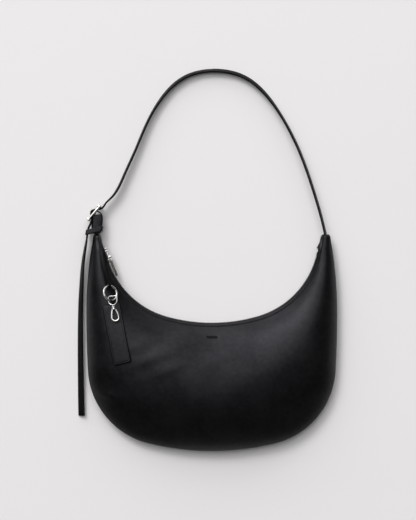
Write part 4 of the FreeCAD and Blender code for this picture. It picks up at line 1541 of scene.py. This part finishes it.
# Buckle frame: X along the buckle, Y outward, Z across the strap
BUCKLE_LENGTH = 26.8
BUCKLE_HEIGHT = 17.0
BUCKLE_WIRE = 1.6
BUCKLE_CORNER = 2.2
BUCKLE_CORNER_STEPS = 8
BUCKLE_END = 2.25
BUCKLE_END_ROUNDING = 0.7
BUCKLE_BAR = 1.2
BUCKLE_BAR_ROUNDING = 0.2
COLLAR_LENGTH = 1.6
COLLAR_STEP = 0.5
COLLAR_ROUNDING = 0.3
PRONG_WIRE = 1.0
PRONG_SLIM_SHARE = 0.85
PRONG_EYE = 1.9
PRONG_SHANK_START = 1.2
PRONG_OVERHANG = 2.2
CURL_POINTS = 22
SHANK_POINTS = 14
TAB_OUTLINE = (
    (-164.4, 218.0), (-159.4, 217.4), (-155.2, 214.6), (-153.4, 209.0), (-153.5, 202.4), (-155.0, 195.2),
    (-156.2, 188.6), (-161.4, 185.4), (-166.4, 189.4), (-167.6, 196.8), (-167.0, 203.8), (-167.2, 210.4),
    (-167.3, 215.2),
)
TAB_STEPS = 8
TAB_MIDDLE = Vector((-159.6, 199.0, SEAM_HEIGHT))
TAB_FILL_SHARE = 0.97
TAB_FILL_TOP = 214.6
TAB_FILL_DROP = 1.6
TAB_FILL_RISE = 0.7
TAB_FILL_ROUNDING = 0.5
TAB_FILL_ANGLE = math.radians(60.0)
TAB_BAR_CLEAR = 3.4
TAB_LEATHER = 1.5
TAB_ROUNDING = 0.45
TAB_HALF_WIDTH = 4.5
TAB_EDGE_RIM = 0.6
KEEPER_LEFT = -176.2
KEEPER_RIGHT = -152.6
KEEPER_ABOVE_HORN = 11.8
KEEPER_HALF_DEPTH = 6.4
KEEPER_WIDTH = 6.4
KEEPER_CORNER = 2.4
KEEPER_CORNER_STEPS = 10
KEEPER_SLANT = 0.45
KEEPER_LEATHER = 1.3
KEEPER_ROUNDING = 0.4
KEEPER_TILT = math.radians(13.0)


def buckle_matrix():
    return let_down_matrix() @ set_at(BUCKLE_CENTRE, BUCKLE_ANGLE)


def rounded_loop(half_x, half_z, radius, corner_steps):
    """Closed rounded rectangle in the XZ plane."""
    points = []
    for quarter, (sx, sz) in enumerate(((1, 1), (-1, 1), (-1, -1), (1, -1))):
        for k in range(corner_steps + 1):
            angle = math.pi / 2 * (quarter + k / corner_steps)
            points.append(Vector((
                sx * (half_x - radius) + radius * math.cos(angle), 0,
                sz * (half_z - radius) + radius * math.sin(angle),
            )))
    return points


def make_buckle():
    """Wire loop with stouter ends, and its bar with two collars."""
    half_x = BUCKLE_LENGTH / 2 - BUCKLE_WIRE
    half_z = BUCKLE_HEIGHT / 2 - BUCKLE_WIRE
    loop = rounded_loop(half_x, half_z, BUCKLE_CORNER, BUCKLE_CORNER_STEPS)
    parts = [
        wire("buckle_loop", loop, BUCKLE_WIRE, True),
        rounded_bar("buckle_bar", BUCKLE_BAR, 2 * half_z, (0, 0, 0), BUCKLE_BAR_ROUNDING),
    ]
    radius = BUCKLE_BAR + COLLAR_STEP
    for sign in (-1, 1):
        centre = (0, 0, sign * (half_z - COLLAR_LENGTH))
        parts.append(rounded_bar("buckle_collar", radius, COLLAR_LENGTH, centre, COLLAR_ROUNDING))
    for sign in (-1, 1):
        centre = (sign * half_x, 0, 0)
        parts.append(rounded_bar("buckle_end", BUCKLE_END, BUCKLE_HEIGHT, centre, BUCKLE_END_ROUNDING))
    return join("buckle_body", *parts)


def make_prong():
    """Round prong that curls round the bar and rests on the far end of the frame."""
    far = BUCKLE_LENGTH / 2 - BUCKLE_WIRE
    rise = BUCKLE_END + PRONG_WIRE - PRONG_EYE
    curl = arc(Vector(), PRONG_EYE, -math.pi, math.pi / 2, CURL_POINTS)
    runs = spread(PRONG_SHANK_START, far + PRONG_OVERHANG, SHANK_POINTS)
    shank = [Vector((run, PRONG_EYE + rise * ease(run / far), 0)) for run in runs]
    return wire("prong_wire", curl + shank, PRONG_SLIM_SHARE * PRONG_WIRE, False)


HULL_ARC_POINTS = 28


def hull_points(first, first_radius, second, second_radius, count):
    """Outline round two circles in the XY plane, evenly stepped."""
    apart = second - first
    base = math.atan2(apart.y, apart.x)
    lean = math.acos((first_radius - second_radius) / apart.length)
    corners = arc(first, first_radius, base + lean, base + 2 * math.pi - lean, HULL_ARC_POINTS)
    corners += arc(second, second_radius, base - lean, base + lean, HULL_ARC_POINTS)
    corners.append(corners[0].copy())
    steps = distances_along(corners)
    even = np.linspace(0.0, steps[-1], count)
    columns = [np.interp(even, steps, [corner[axis] for corner in corners]) for axis in range(3)]
    return [Vector(point) for point in zip(*columns)]


def closed_line(points, per_span):
    """Points of a smooth closed line through points."""
    count = len(points)
    line = []
    for k in range(count):
        before, first, last, after = (points[(k + step) % count] for step in (-1, 0, 1, 2))
        for share in spread(0.0, 1.0, per_span + 1)[:-1]:
            bend = (last - before) * share + (2 * before - 5 * first + 4 * last - after) * share ** 2
            line.append(first + 0.5 * (bend + (3 * first - before - 3 * last + after) * share ** 3))
    return line + [line[0].copy()]


def make_buckle_tab():
    """Leather loop that holds the buckle's bar, with its sewn ends between its sides."""
    outline = closed_line([Vector((x, y, SEAM_HEIGHT)) for x, y in TAB_OUTLINE], TAB_STEPS)
    last = len(outline) - 1
    wall = grid("buckle_tab_fold", last, 4)

    def wall_point(x, y):
        return outline[round(x * last)] + Vector((0, 0, TAB_HALF_WIDTH * (2.0 * y - 1.0)))

    shape(wall, wall_point)
    weld(wall)
    thicken(wall, TAB_LEATHER, rounding=TAB_ROUNDING, segments=3)
    corners = [TAB_MIDDLE.lerp(point, TAB_FILL_SHARE) for point in outline[:-1] if point.y < TAB_FILL_TOP]
    corners = [corner for corner in corners if (corner - BUCKLE_CENTRE).length > TAB_BAR_CLEAR]
    low = Vector((0, 0, TAB_HALF_WIDTH - TAB_FILL_RISE))
    high = Vector((0, 0, TAB_HALF_WIDTH - TAB_FILL_DROP))
    points = [(corner - low) * MM for corner in corners] + [(corner + high) * MM for corner in corners]
    count = len(corners)
    sides = [(k, (k + 1) % count, count + (k + 1) % count, count + k) for k in range(count)]
    faces = [tuple(reversed(range(count))), tuple(range(count, 2 * count)), *sides]
    fill = mesh_piece("buckle_tab_fill", points, faces)
    weld(fill)
    round_edges(fill, TAB_FILL_ROUNDING * MM, 2, TAB_FILL_ANGLE)
    return in_millimetres(join("buckle_tab_fold", wall, fill))


def make_keeper():
    """Leather band round the tab and the tail, slanted across them."""
    half = (KEEPER_RIGHT - KEEPER_LEFT) / 2
    loop = rounded_loop(half, KEEPER_HALF_DEPTH, KEEPER_CORNER, KEEPER_CORNER_STEPS)
    loop.append(loop[0].copy())
    last = len(loop) - 1
    piece = grid("keeper_band", last, 4)

    def keeper_point(x, y):
        point = loop[round(x * last)].copy()
        point.y = KEEPER_WIDTH * (y - 0.5)
        point.x += KEEPER_SLANT * point.y
        return point

    shape(piece, keeper_point)
    weld(piece)
    thicken(piece, KEEPER_LEATHER, rounding=KEEPER_ROUNDING, segments=3)
    return in_millimetres(piece)


class BAG_OT_buckle(bpy.types.Operator):
    """Model the buckle, its prong, the tab that holds it and the keeper"""

    bl_idname = "half_moon.buckle"
    bl_label = "Buckle and keeper"

    def execute(self, context):
        finish_piece(make_buckle(), "strap", "polished_metal", metal(), "buckle_frame", at=buckle_matrix())
        finish_piece(make_prong(), "prong", "polished_metal", metal(), "buckle_prong", at=buckle_matrix())
        down = let_down_matrix()
        tab = make_buckle_tab()
        finish_piece(tab, "strap", "black_leather", edge_leather(), "buckle_tab", at=down)
        level = down.inverted()
        rim = TAB_HALF_WIDTH - TAB_EDGE_RIM
        paint_edges(tab, lambda face: abs((level @ (face.center / MM)).z - SEAM_HEIGHT) > rim)
        middle = (KEEPER_LEFT + KEEPER_RIGHT) / 2
        hold = down @ set_at((middle, HORN_HEIGHT + KEEPER_ABOVE_HORN, SEAM_HEIGHT), KEEPER_TILT)
        finish_piece(make_keeper(), "keeper", "black_leather", edge_leather(), "strap_keeper", at=hold)
        return {"FINISHED"}


# Fob frame: X across, -Y down the fob, Z off the bag
FOB_START = 12.0
LACE_WIDTH = 3.8
LACE_LEATHER = 1.0
LACE_NECK_LIFT = 0.9
LACE_NECK_HOLE = 0.5
LOOP_STEPS = 120
LOOP_ROUNDING = 0.3
RING_WIRE = 1.4
RING_SHIFT = 0.9
RING_ROLL = math.radians(38.0)
RING_SEGMENTS = (96, 20)
LACE_SLACK = 1.2
LACE_HOLE = RING_WIRE + LACE_SLACK
TAG_LOOP_SLACK = 1.35
TAG_LOOP_HOLE = RING_WIRE + TAG_LOOP_SLACK
TAG_START = 91.6
TAG_LENGTH = 85.4
TAG_WIDTH = 25.4
TAG_SHIFT = -1.4
TAG_LEAN = 1.1
TAG_THICKNESS = 2.6
TAG_SKIVE = 0.9
TAG_SKIVE_RUN_SHARE = 0.25
TAG_DROOP = 3.35
TAG_DROOP_START_SHARE = 0.35
TAG_TWIST = 0.17
TAG_TWIST_START_SHARE = 0.2
TAG_TWIST_POWER = 1.5
TAG_CORNER = 3.0
TAG_LOOP_WIDTH = 2.4
TAG_LOOP_END_HOLE = 0.4
TAG_LOOP_SET = 0.9
TAG_LOOP_RISE = 0.2
EYE_SHIFT = 1.3
EYE_HALF_WIDTH = 6.1
EYE_TOP = 82.2
EYE_STRAIGHT = 6.2
EYE_CORNER = 2.4
EYE_WIRE = 1.0
EYE_CORNER_POINTS = 7
EYE_ROUND_POINTS = 29
EYE_ROLL = math.radians(-14.0)
EYE_LEAN = math.radians(-9.0)
SWIVEL_LENGTH = 4.4
HOOK_START = 95.8
HOOK_HALF_WIDTH = 4.9
HOOK_WIRE = 1.45
HOOK_LENGTH = 17.0
HOOK_TIP_ANGLE = math.radians(31.5)


def fob_matrix():
    """Frame of the fob, at the left neck and sloping with the front."""
    neck = Vector((-HORN_X, HORN_HEIGHT, SEAM_HEIGHT + FOB_CLEAR)) + FOB_SHIFT
    return set_at(neck, FOB_TURN) @ Matrix.Rotation(-FOB_SLOPE, 4, "X")


def make_loop(name, first, first_radius, second, second_radius, width, roll=0.0):
    """Thin leather loop from its end to the ring, along the fob, that may twist on its way."""
    outline = hull_points(first, first_radius, second, second_radius, LOOP_STEPS + 1)
    piece = grid(name, LOOP_STEPS, 3)

    def loop_point(x, y):
        point = outline[round(x * LOOP_STEPS)]
        share = ease((point.x - first.x) / (second.x - first.x))
        side = Vector((width * (y - 0.5), 0, point.y - second.y))
        side.rotate(Matrix.Rotation(roll * share, 3, "Y"))
        return Vector((RING_SHIFT * share + side.x, point.x, second.y + side.z))

    shape(piece, loop_point)
    weld(piece)
    thicken(piece, LACE_LEATHER, offset=1.0, rounding=LOOP_ROUNDING)
    return in_millimetres(piece)


TAG_GRID = (72, 210)
TAG_BEVEL = 0.15
TAG_ROUNDING = 1.6
TAG_EDGE_DROP = 1.1
TAG_EDGE_SLOPE = 0.9
TAG_BORDER = 2.6
TAG_BORDER_HALF = 0.5
TAG_BORDER_DEPTH = 0.22
TAG_PUFF = 0.35
TAG_PUFF_RUN = 5.0


def over_corner(x, y):
    """How far a place on the tag is past the start of its rounded corners, across and along."""
    return [max(abs(at) - size / 2 + TAG_CORNER, 0.0) for at, size in ((x, TAG_WIDTH), (y, TAG_LENGTH))]


def tag_inset(x, y):
    """How far a place on the tag, from its middle, lies inside its rounded outline."""
    over_x, over_y = over_corner(x, y)
    if over_x and over_y:
        return TAG_CORNER - math.hypot(over_x, over_y)
    return min(TAG_WIDTH / 2 - abs(x), TAG_LENGTH / 2 - abs(y))


def tag_corner(x, y):
    """A place on the tag's rectangle, moved in where a corner is rounded."""
    over_x, over_y = over_corner(x, y)
    if over_x and over_y:
        share = 1.0 - max(over_x, over_y) / math.hypot(over_x, over_y)
        x -= math.copysign(over_x * share, x)
        y -= math.copysign(over_y * share, y)
    return x, y


def past(share, start):
    """How far a share is past a start: 0 up to it, 1 at the end."""
    return max(share - start, 0.0) / (1.0 - start)


def tag_height(x, y, z):
    """Height of a point of the tag: round at its edge, skived at its loop, drooping down the bag."""
    share = 0.5 - y / TAG_LENGTH
    skive = TAG_SKIVE * max(1.0 - share / TAG_SKIVE_RUN_SHARE, 0.0) ** 2
    droop = TAG_DROOP * past(share, TAG_DROOP_START_SHARE) ** 2
    twist = TAG_TWIST * past(share, TAG_TWIST_START_SHARE) ** TAG_TWIST_POWER
    above = z / TAG_THICKNESS
    edge = TAG_EDGE_DROP * min(max(1.0 - tag_inset(x, y) / TAG_ROUNDING, 0.0), 1.0) ** 2
    return z + skive * (1.0 - above) - edge * above - droop + twist * x


def make_tag():
    """Padded leather strip with a plain pressed border."""
    columns, rows = TAG_GRID
    piece = grid("tag_leather", columns, rows)

    def tag_point(x, y):
        px, py = tag_corner((x - 0.5) * TAG_WIDTH, (y - 0.5) * TAG_LENGTH)
        inside = tag_inset(px, py)
        puff = TAG_PUFF * ease(inside / TAG_PUFF_RUN)
        border = TAG_BORDER_DEPTH * bell(inside - TAG_BORDER, TAG_BORDER_HALF)
        return Vector((px, py, puff - border + TAG_THICKNESS - TAG_PUFF))

    shape(piece, tag_point)
    face_towards(piece, rows // 2 * columns + columns // 2, (0, 0, 1))
    thicken(piece, TAG_THICKNESS - TAG_PUFF, offset=-1.0, rounding=TAG_BEVEL)
    in_millimetres(piece)
    for vertex in piece.data.vertices:
        x, y, z = vertex.co
        lean = TAG_LEAN * (0.5 - y / TAG_LENGTH)
        vertex.co = TAG_SHIFT - lean + x, y - TAG_START - TAG_LENGTH / 2, tag_height(x, y, z)
    piece.data.update()
    return piece


def make_ring():
    around, section = RING_SEGMENTS
    deselect()
    bpy.ops.mesh.primitive_torus_add(
        major_segments=around, minor_segments=section, major_radius=RING_RADIUS, minor_radius=RING_WIRE,
        location=(RING_SHIFT, -RING_DISTANCE, RING_LIFT), rotation=(0, RING_ROLL, 0)
    )
    bpy.ops.object.transform_apply(location=True, rotation=True, scale=False)
    ring = named("fob_ring_wire")
    smooth(ring)
    return ring


def make_eye():
    """D shaped eye of the hook, turned so that it passes over and under the ring."""
    w, r = EYE_HALF_WIDTH, EYE_CORNER
    points = arc(Vector((w - r, -r, 0)), r, math.pi / 2, 0.0, EYE_CORNER_POINTS)
    points += arc(Vector((0, -EYE_STRAIGHT, 0)), w, 0.0, -math.pi, EYE_ROUND_POINTS)
    points += arc(Vector((r - w, -r, 0)), r, math.pi, math.pi / 2, EYE_CORNER_POINTS)
    eye = wire("hook_eye_wire", points, EYE_WIRE, True)
    low_end = Vector((0, -EYE_STRAIGHT - w, 0))
    lean = set_at(low_end, EYE_LEAN) @ Matrix.Translation(-low_end)
    eye.data.transform(set_at((EYE_SHIFT, -EYE_TOP, RING_LIFT), EYE_ROLL, "Y") @ lean)
    return eye


def hook_centre():
    """Centre of the hook's round end."""
    low = HOOK_START + SWIVEL_LENGTH + HOOK_LENGTH
    return Vector((EYE_SHIFT, -low + HOOK_HALF_WIDTH, RING_LIFT))


def gate_pivot():
    """Place of the gate's pin, at the open end of the hook."""
    w = HOOK_HALF_WIDTH
    return hook_centre() + Vector((w * math.cos(HOOK_TIP_ANGLE), -w * math.sin(HOOK_TIP_ANGLE), 0))


HOOK_NECK_HALF = 1.6
HOOK_NECK_RISE = 0.6
HOOK_SWELL_SHARE = 0.18
LIMB_POINTS = 14
BOWL_POINTS = 30
BARREL_LENGTH = 3.8
HEAD_BELOW = 4.6

# Turned parts of the hook: (name, radius, length, distance below the hook's start, rounding)
HOOK_BARS = (
    ("hook_barrel", 2.2, BARREL_LENGTH, SWIVEL_LENGTH / 2, 0.7),
    ("hook_collar", 2.7, 1.3, 1.0, 0.5),
    ("hook_head", 2.6, 2.6, HEAD_BELOW, 1.1),
)
GATE_PIN_RADIUS = 0.75
GATE_PIN_LENGTH = 3.6
GATE_PIN_ROUNDING = 0.25
GATE_WIRE = 1.1
GATE_BOW = 0.9
GATE_TOP_OUT = 0.9
GATE_TOP_DROP = 1.6
GATE_POINTS = 12


def make_hook():
    """Swivel barrel and teardrop hook, open on the side of the gate."""
    centre = hook_centre()
    neck = Vector((EYE_SHIFT - HOOK_NECK_HALF, HOOK_NECK_RISE - HOOK_START - SWIVEL_LENGTH, RING_LIFT))
    side = centre - Vector((HOOK_HALF_WIDTH, 0, 0))
    limb = []
    for share in spread(0.0, 1.0, LIMB_POINTS)[:-1]:
        point = neck.lerp(side, share)
        point.x += (side.x - neck.x) * HOOK_SWELL_SHARE * math.sin(share * math.pi)
        limb.append(point)
    bowl = arc(centre, HOOK_HALF_WIDTH, math.pi, 2 * math.pi - HOOK_TIP_ANGLE, BOWL_POINTS)
    parts = [wire("hook_limb", limb + bowl, HOOK_WIRE, False)]
    for name, radius, length, below, rounding in HOOK_BARS:
        place_at = (EYE_SHIFT, -HOOK_START - below, RING_LIFT)
        parts.append(rounded_bar(name, radius, length, place_at, rounding, ALONG_Y))
    parts.append(rounded_bar("hook_pin", GATE_PIN_RADIUS, GATE_PIN_LENGTH, gate_pivot(), GATE_PIN_ROUNDING))
    return join("hook_limb", *parts)


def make_gate():
    """Sprung gate from its pin up to the head of the hook."""
    pivot = gate_pivot()
    head = Vector((EYE_SHIFT, -HOOK_START - SWIVEL_LENGTH, RING_LIFT))
    top = head + Vector((HOOK_NECK_HALF + GATE_TOP_OUT, -GATE_TOP_DROP, 0))
    bow = Vector((GATE_BOW, 0, 0))
    shares = spread(0.0, 1.0, GATE_POINTS)
    line = [pivot.lerp(top, share) + bow * math.sin(share * math.pi) for share in shares]
    return wire("hook_gate_bar", line, GATE_WIRE, False)


class BAG_OT_fob(bpy.types.Operator):
    """Model the lace, ring, tag and snap hook on the left horn"""

    bl_idname = "half_moon.fob"
    bl_label = "Fob"

    def execute(self, context):
        neck = Vector((-FOB_START, LACE_NECK_LIFT, 0))
        ring_top = Vector((-RING_DISTANCE + RING_RADIUS, RING_LIFT, 0))
        ring_low = Vector((-RING_DISTANCE - RING_RADIUS, RING_LIFT, 0))
        tag_middle = (TAG_THICKNESS + TAG_SKIVE) / 2
        tag_end = Vector((TAG_LOOP_SET - TAG_START, tag_middle + TAG_LOOP_RISE, 0))
        lace = make_loop("fob_lace_loop", neck, LACE_NECK_HOLE, ring_top, LACE_HOLE, LACE_WIDTH, RING_ROLL)
        loop = make_loop("tag_hanger", tag_end, TAG_LOOP_END_HOLE, ring_low, TAG_LOOP_HOLE, TAG_LOOP_WIDTH)
        hang = fob_matrix()
        across = hang.to_3x3() @ Vector((0, 0, 1))
        ring = make_ring()
        tag = make_tag()
        for piece, body, slot, material, *nodes in (
            (lace, "lace", "black_leather", strap_leather(), "fob_lace"),
            (ring, "ring", "polished_metal", metal(), "fob_ring"),
            (tag, "tag", "black_leather", leather(), "tag_strip"),
            (loop, "tag", "black_leather", edge_leather(), "tag_loop"),
            (make_eye(), "eye", "polished_metal", metal(), "hook_eye"),
            (make_hook(), "hook", "polished_metal", metal(), "snap_hook", "gate_pin"),
            (make_gate(), "gate", "polished_metal", metal(), "hook_gate"),
        ):
            finish_piece(piece, body, slot, material, *nodes, at=hang)
        paint_edges(tag, lambda face: abs(face.normal.dot(across)) < TAG_EDGE_SLOPE)
        return {"FINISHED"}


# Sewing
STITCH_FIRST_SHARE = 0.035
STITCH_SAMPLES = 700
STITCH_LIFT = 0.1
STITCH_SLANT = math.radians(7.0)
STITCH_HALF_SHARE = 0.42
STITCH_END_DIP = 0.25
STITCH_SEGMENTS = (8, 6)


def stitch_matrices(side):
    """Places of the stitches in the groove of one lip, a little slanted."""
    pitch = settings().stitch.pitch / MM
    v = LIP_ROWS_SHARE * GROOVE_RUN / LIP_ZONE
    shares = spread(STITCH_FIRST_SHARE, 1.0 - STITCH_FIRST_SHARE, STITCH_SAMPLES)
    line = [panel_point(t, v, side) for t in shares]
    steps = distances_along(line)
    matrices = []
    for k in range(int(steps[-1] / pitch)):
        index = int(np.searchsorted(steps, (k + 0.5) * pitch))
        ahead = (line[min(index + 1, len(line) - 1)] - line[index - 1]).normalized()
        up = Vector((0, 0, side))
        across = up.cross(ahead).normalized()
        up = ahead.cross(across)
        turn = Matrix((ahead, across, up)).transposed().to_4x4()
        lift = line[index] + up * STITCH_LIFT
        matrices.append(Matrix.Translation(lift) @ turn @ Matrix.Rotation(STITCH_SLANT, 4, "Z"))
    return matrices


def stitch_unit():
    """One stitch: a short thread with its ends drawn down."""
    look = settings().stitch
    around, along = STITCH_SEGMENTS
    deselect()
    bpy.ops.mesh.primitive_uv_sphere_add(
        segments=around, ring_count=along, radius=1.0, rotation=(0, math.pi / 2, 0)
    )
    bpy.ops.object.transform_apply(location=False, rotation=True, scale=False)
    unit = named("stitch")
    half = STITCH_HALF_SHARE * look.pitch / MM
    radius = look.radius / MM
    for vertex in unit.data.vertices:
        x, y, z = vertex.co
        vertex.co = half * x, radius * y, radius * z - STITCH_END_DIP * x ** 4
    unit.data.update()
    return unit


class BAG_OT_stitching(bpy.types.Operator):
    """Model the sewing along the two lips of the mouth"""

    bl_idname = "half_moon.stitching"
    bl_label = "Stitching"

    def execute(self, context):
        for side, where in ((1, "front"), (-1, "back")):
            piece = copies("stitches_" + where, stitch_unit(), stitch_matrices(side))
            finish_piece(piece, "bag", "black_leather", thread())
        return {"FINISHED"}


# Stage: frame of the picture and its light
VIEW_CENTRE = (-5.3, 149.5)
VIEW_HEIGHT = 728.0
LENS = 135.0
SENSOR = 36.0
CAMERA_REACH = 50.0
FLOOR_SIZE = 16.0

# Lamps, in metres: (power setting, place, size)
LAMPS = (
    ("key", (-5.0, 8.6, 10.0), (5.0, 4.0)),
    ("panel", (-2.6, 6.0, 11.3), (16.0, 15.0)),
    ("low", (-2.0, 12.4, 4.6), (28.0, 6.0)),
)
LAMP_AIM = Vector((0.0, 0.1, 0.0))


def add_lamp(name, place_at, size, power):
    """Wide soft lamp turned to the bag."""
    deselect()
    bpy.ops.object.light_add(type="AREA", location=place_at)
    lamp = named(name)
    lamp.data.shape = "RECTANGLE"
    lamp.data.size, lamp.data.size_y = size
    lamp.data.energy = power
    lamp.rotation_euler = (LAMP_AIM - Vector(place_at)).to_track_quat("-Z", "Y").to_euler()


class BAG_OT_stage(bpy.types.Operator):
    """Add the pale floor, the soft light and the camera"""

    bl_idname = "half_moon.stage"
    bl_label = "Stage"

    def execute(self, context):
        look = settings().stage
        deselect()
        bpy.ops.mesh.primitive_plane_add(size=FLOOR_SIZE, location=(0, 0, 0))
        floor = named("paper_floor")
        floor.data.materials.append(floor_finish("pale paper", tuple(look.floor)))
        for key, place_at, size in LAMPS:
            add_lamp(key + "_light", place_at, size, getattr(look, key))
        world = bpy.data.worlds.new("surroundings")
        world.use_nodes = True
        sky = world.node_tree.nodes["Background"]
        sky.inputs["Color"].default_value = (1.0, 1.0, 1.0, 1.0)
        sky.inputs["Strength"].default_value = look.sky
        context.scene.world = world
        distance = VIEW_HEIGHT * LENS / SENSOR + SEAM_HEIGHT
        bpy.ops.object.camera_add(location=(VIEW_CENTRE[0] * MM, VIEW_CENTRE[1] * MM, distance * MM))
        camera = named("photo_camera")
        camera.data.lens = LENS
        camera.data.sensor_fit = "VERTICAL"
        camera.data.sensor_height = SENSOR
        camera.data.clip_end = CAMERA_REACH
        camera.data.dof.use_dof = False
        context.scene.camera = camera
        context.scene.view_settings.view_transform = "Standard"
        return {"FINISHED"}


PIECE_OPERATORS = (
    BAG_OT_stage, BAG_OT_body, BAG_OT_lining, BAG_OT_zip, BAG_OT_slider, BAG_OT_strap,
    BAG_OT_buckle, BAG_OT_fob, BAG_OT_stitching,
)


class BAG_PT_panel(bpy.types.Panel):
    """Lists the steps that model the bag"""

    bl_label = "Half moon bag"
    bl_idname = "BAG_PT_panel"
    bl_space_type = "VIEW_3D"
    bl_region_type = "UI"
    bl_category = "Half moon bag"

    def draw(self, context):
        for operator in PIECE_OPERATORS:
            self.layout.operator(operator.bl_idname)
        for group in ("leather", "stitch", "strap", "metal", "cloth", "stage"):
            box = self.layout.box()
            chosen = getattr(context.scene.half_moon_bag, group)
            for key in chosen.__annotations__:
                box.prop(chosen, key)


CLASSES = (
    LeatherSettings, StitchSettings, StrapSettings, MetalSettings, ClothSettings, StageSettings,
    BagSettings, *PIECE_OPERATORS, BAG_PT_panel,
)


def register():
    for cls in CLASSES:
        bpy.utils.register_class(cls)
    bpy.types.Scene.half_moon_bag = bpy.props.PointerProperty(type=BagSettings)


def unregister():
    del bpy.types.Scene.half_moon_bag
    for cls in reversed(CLASSES):
        bpy.utils.unregister_class(cls)


def main():
    register()
    bpy.ops.half_moon.stage()
    bpy.ops.half_moon.body()
    bpy.ops.half_moon.lining()
    bpy.ops.half_moon.zip()
    bpy.ops.half_moon.slider()
    bpy.ops.half_moon.strap()
    bpy.ops.half_moon.buckle()
    bpy.ops.half_moon.fob()
    bpy.ops.half_moon.stitching()


if __name__ == "__main__":
    main()
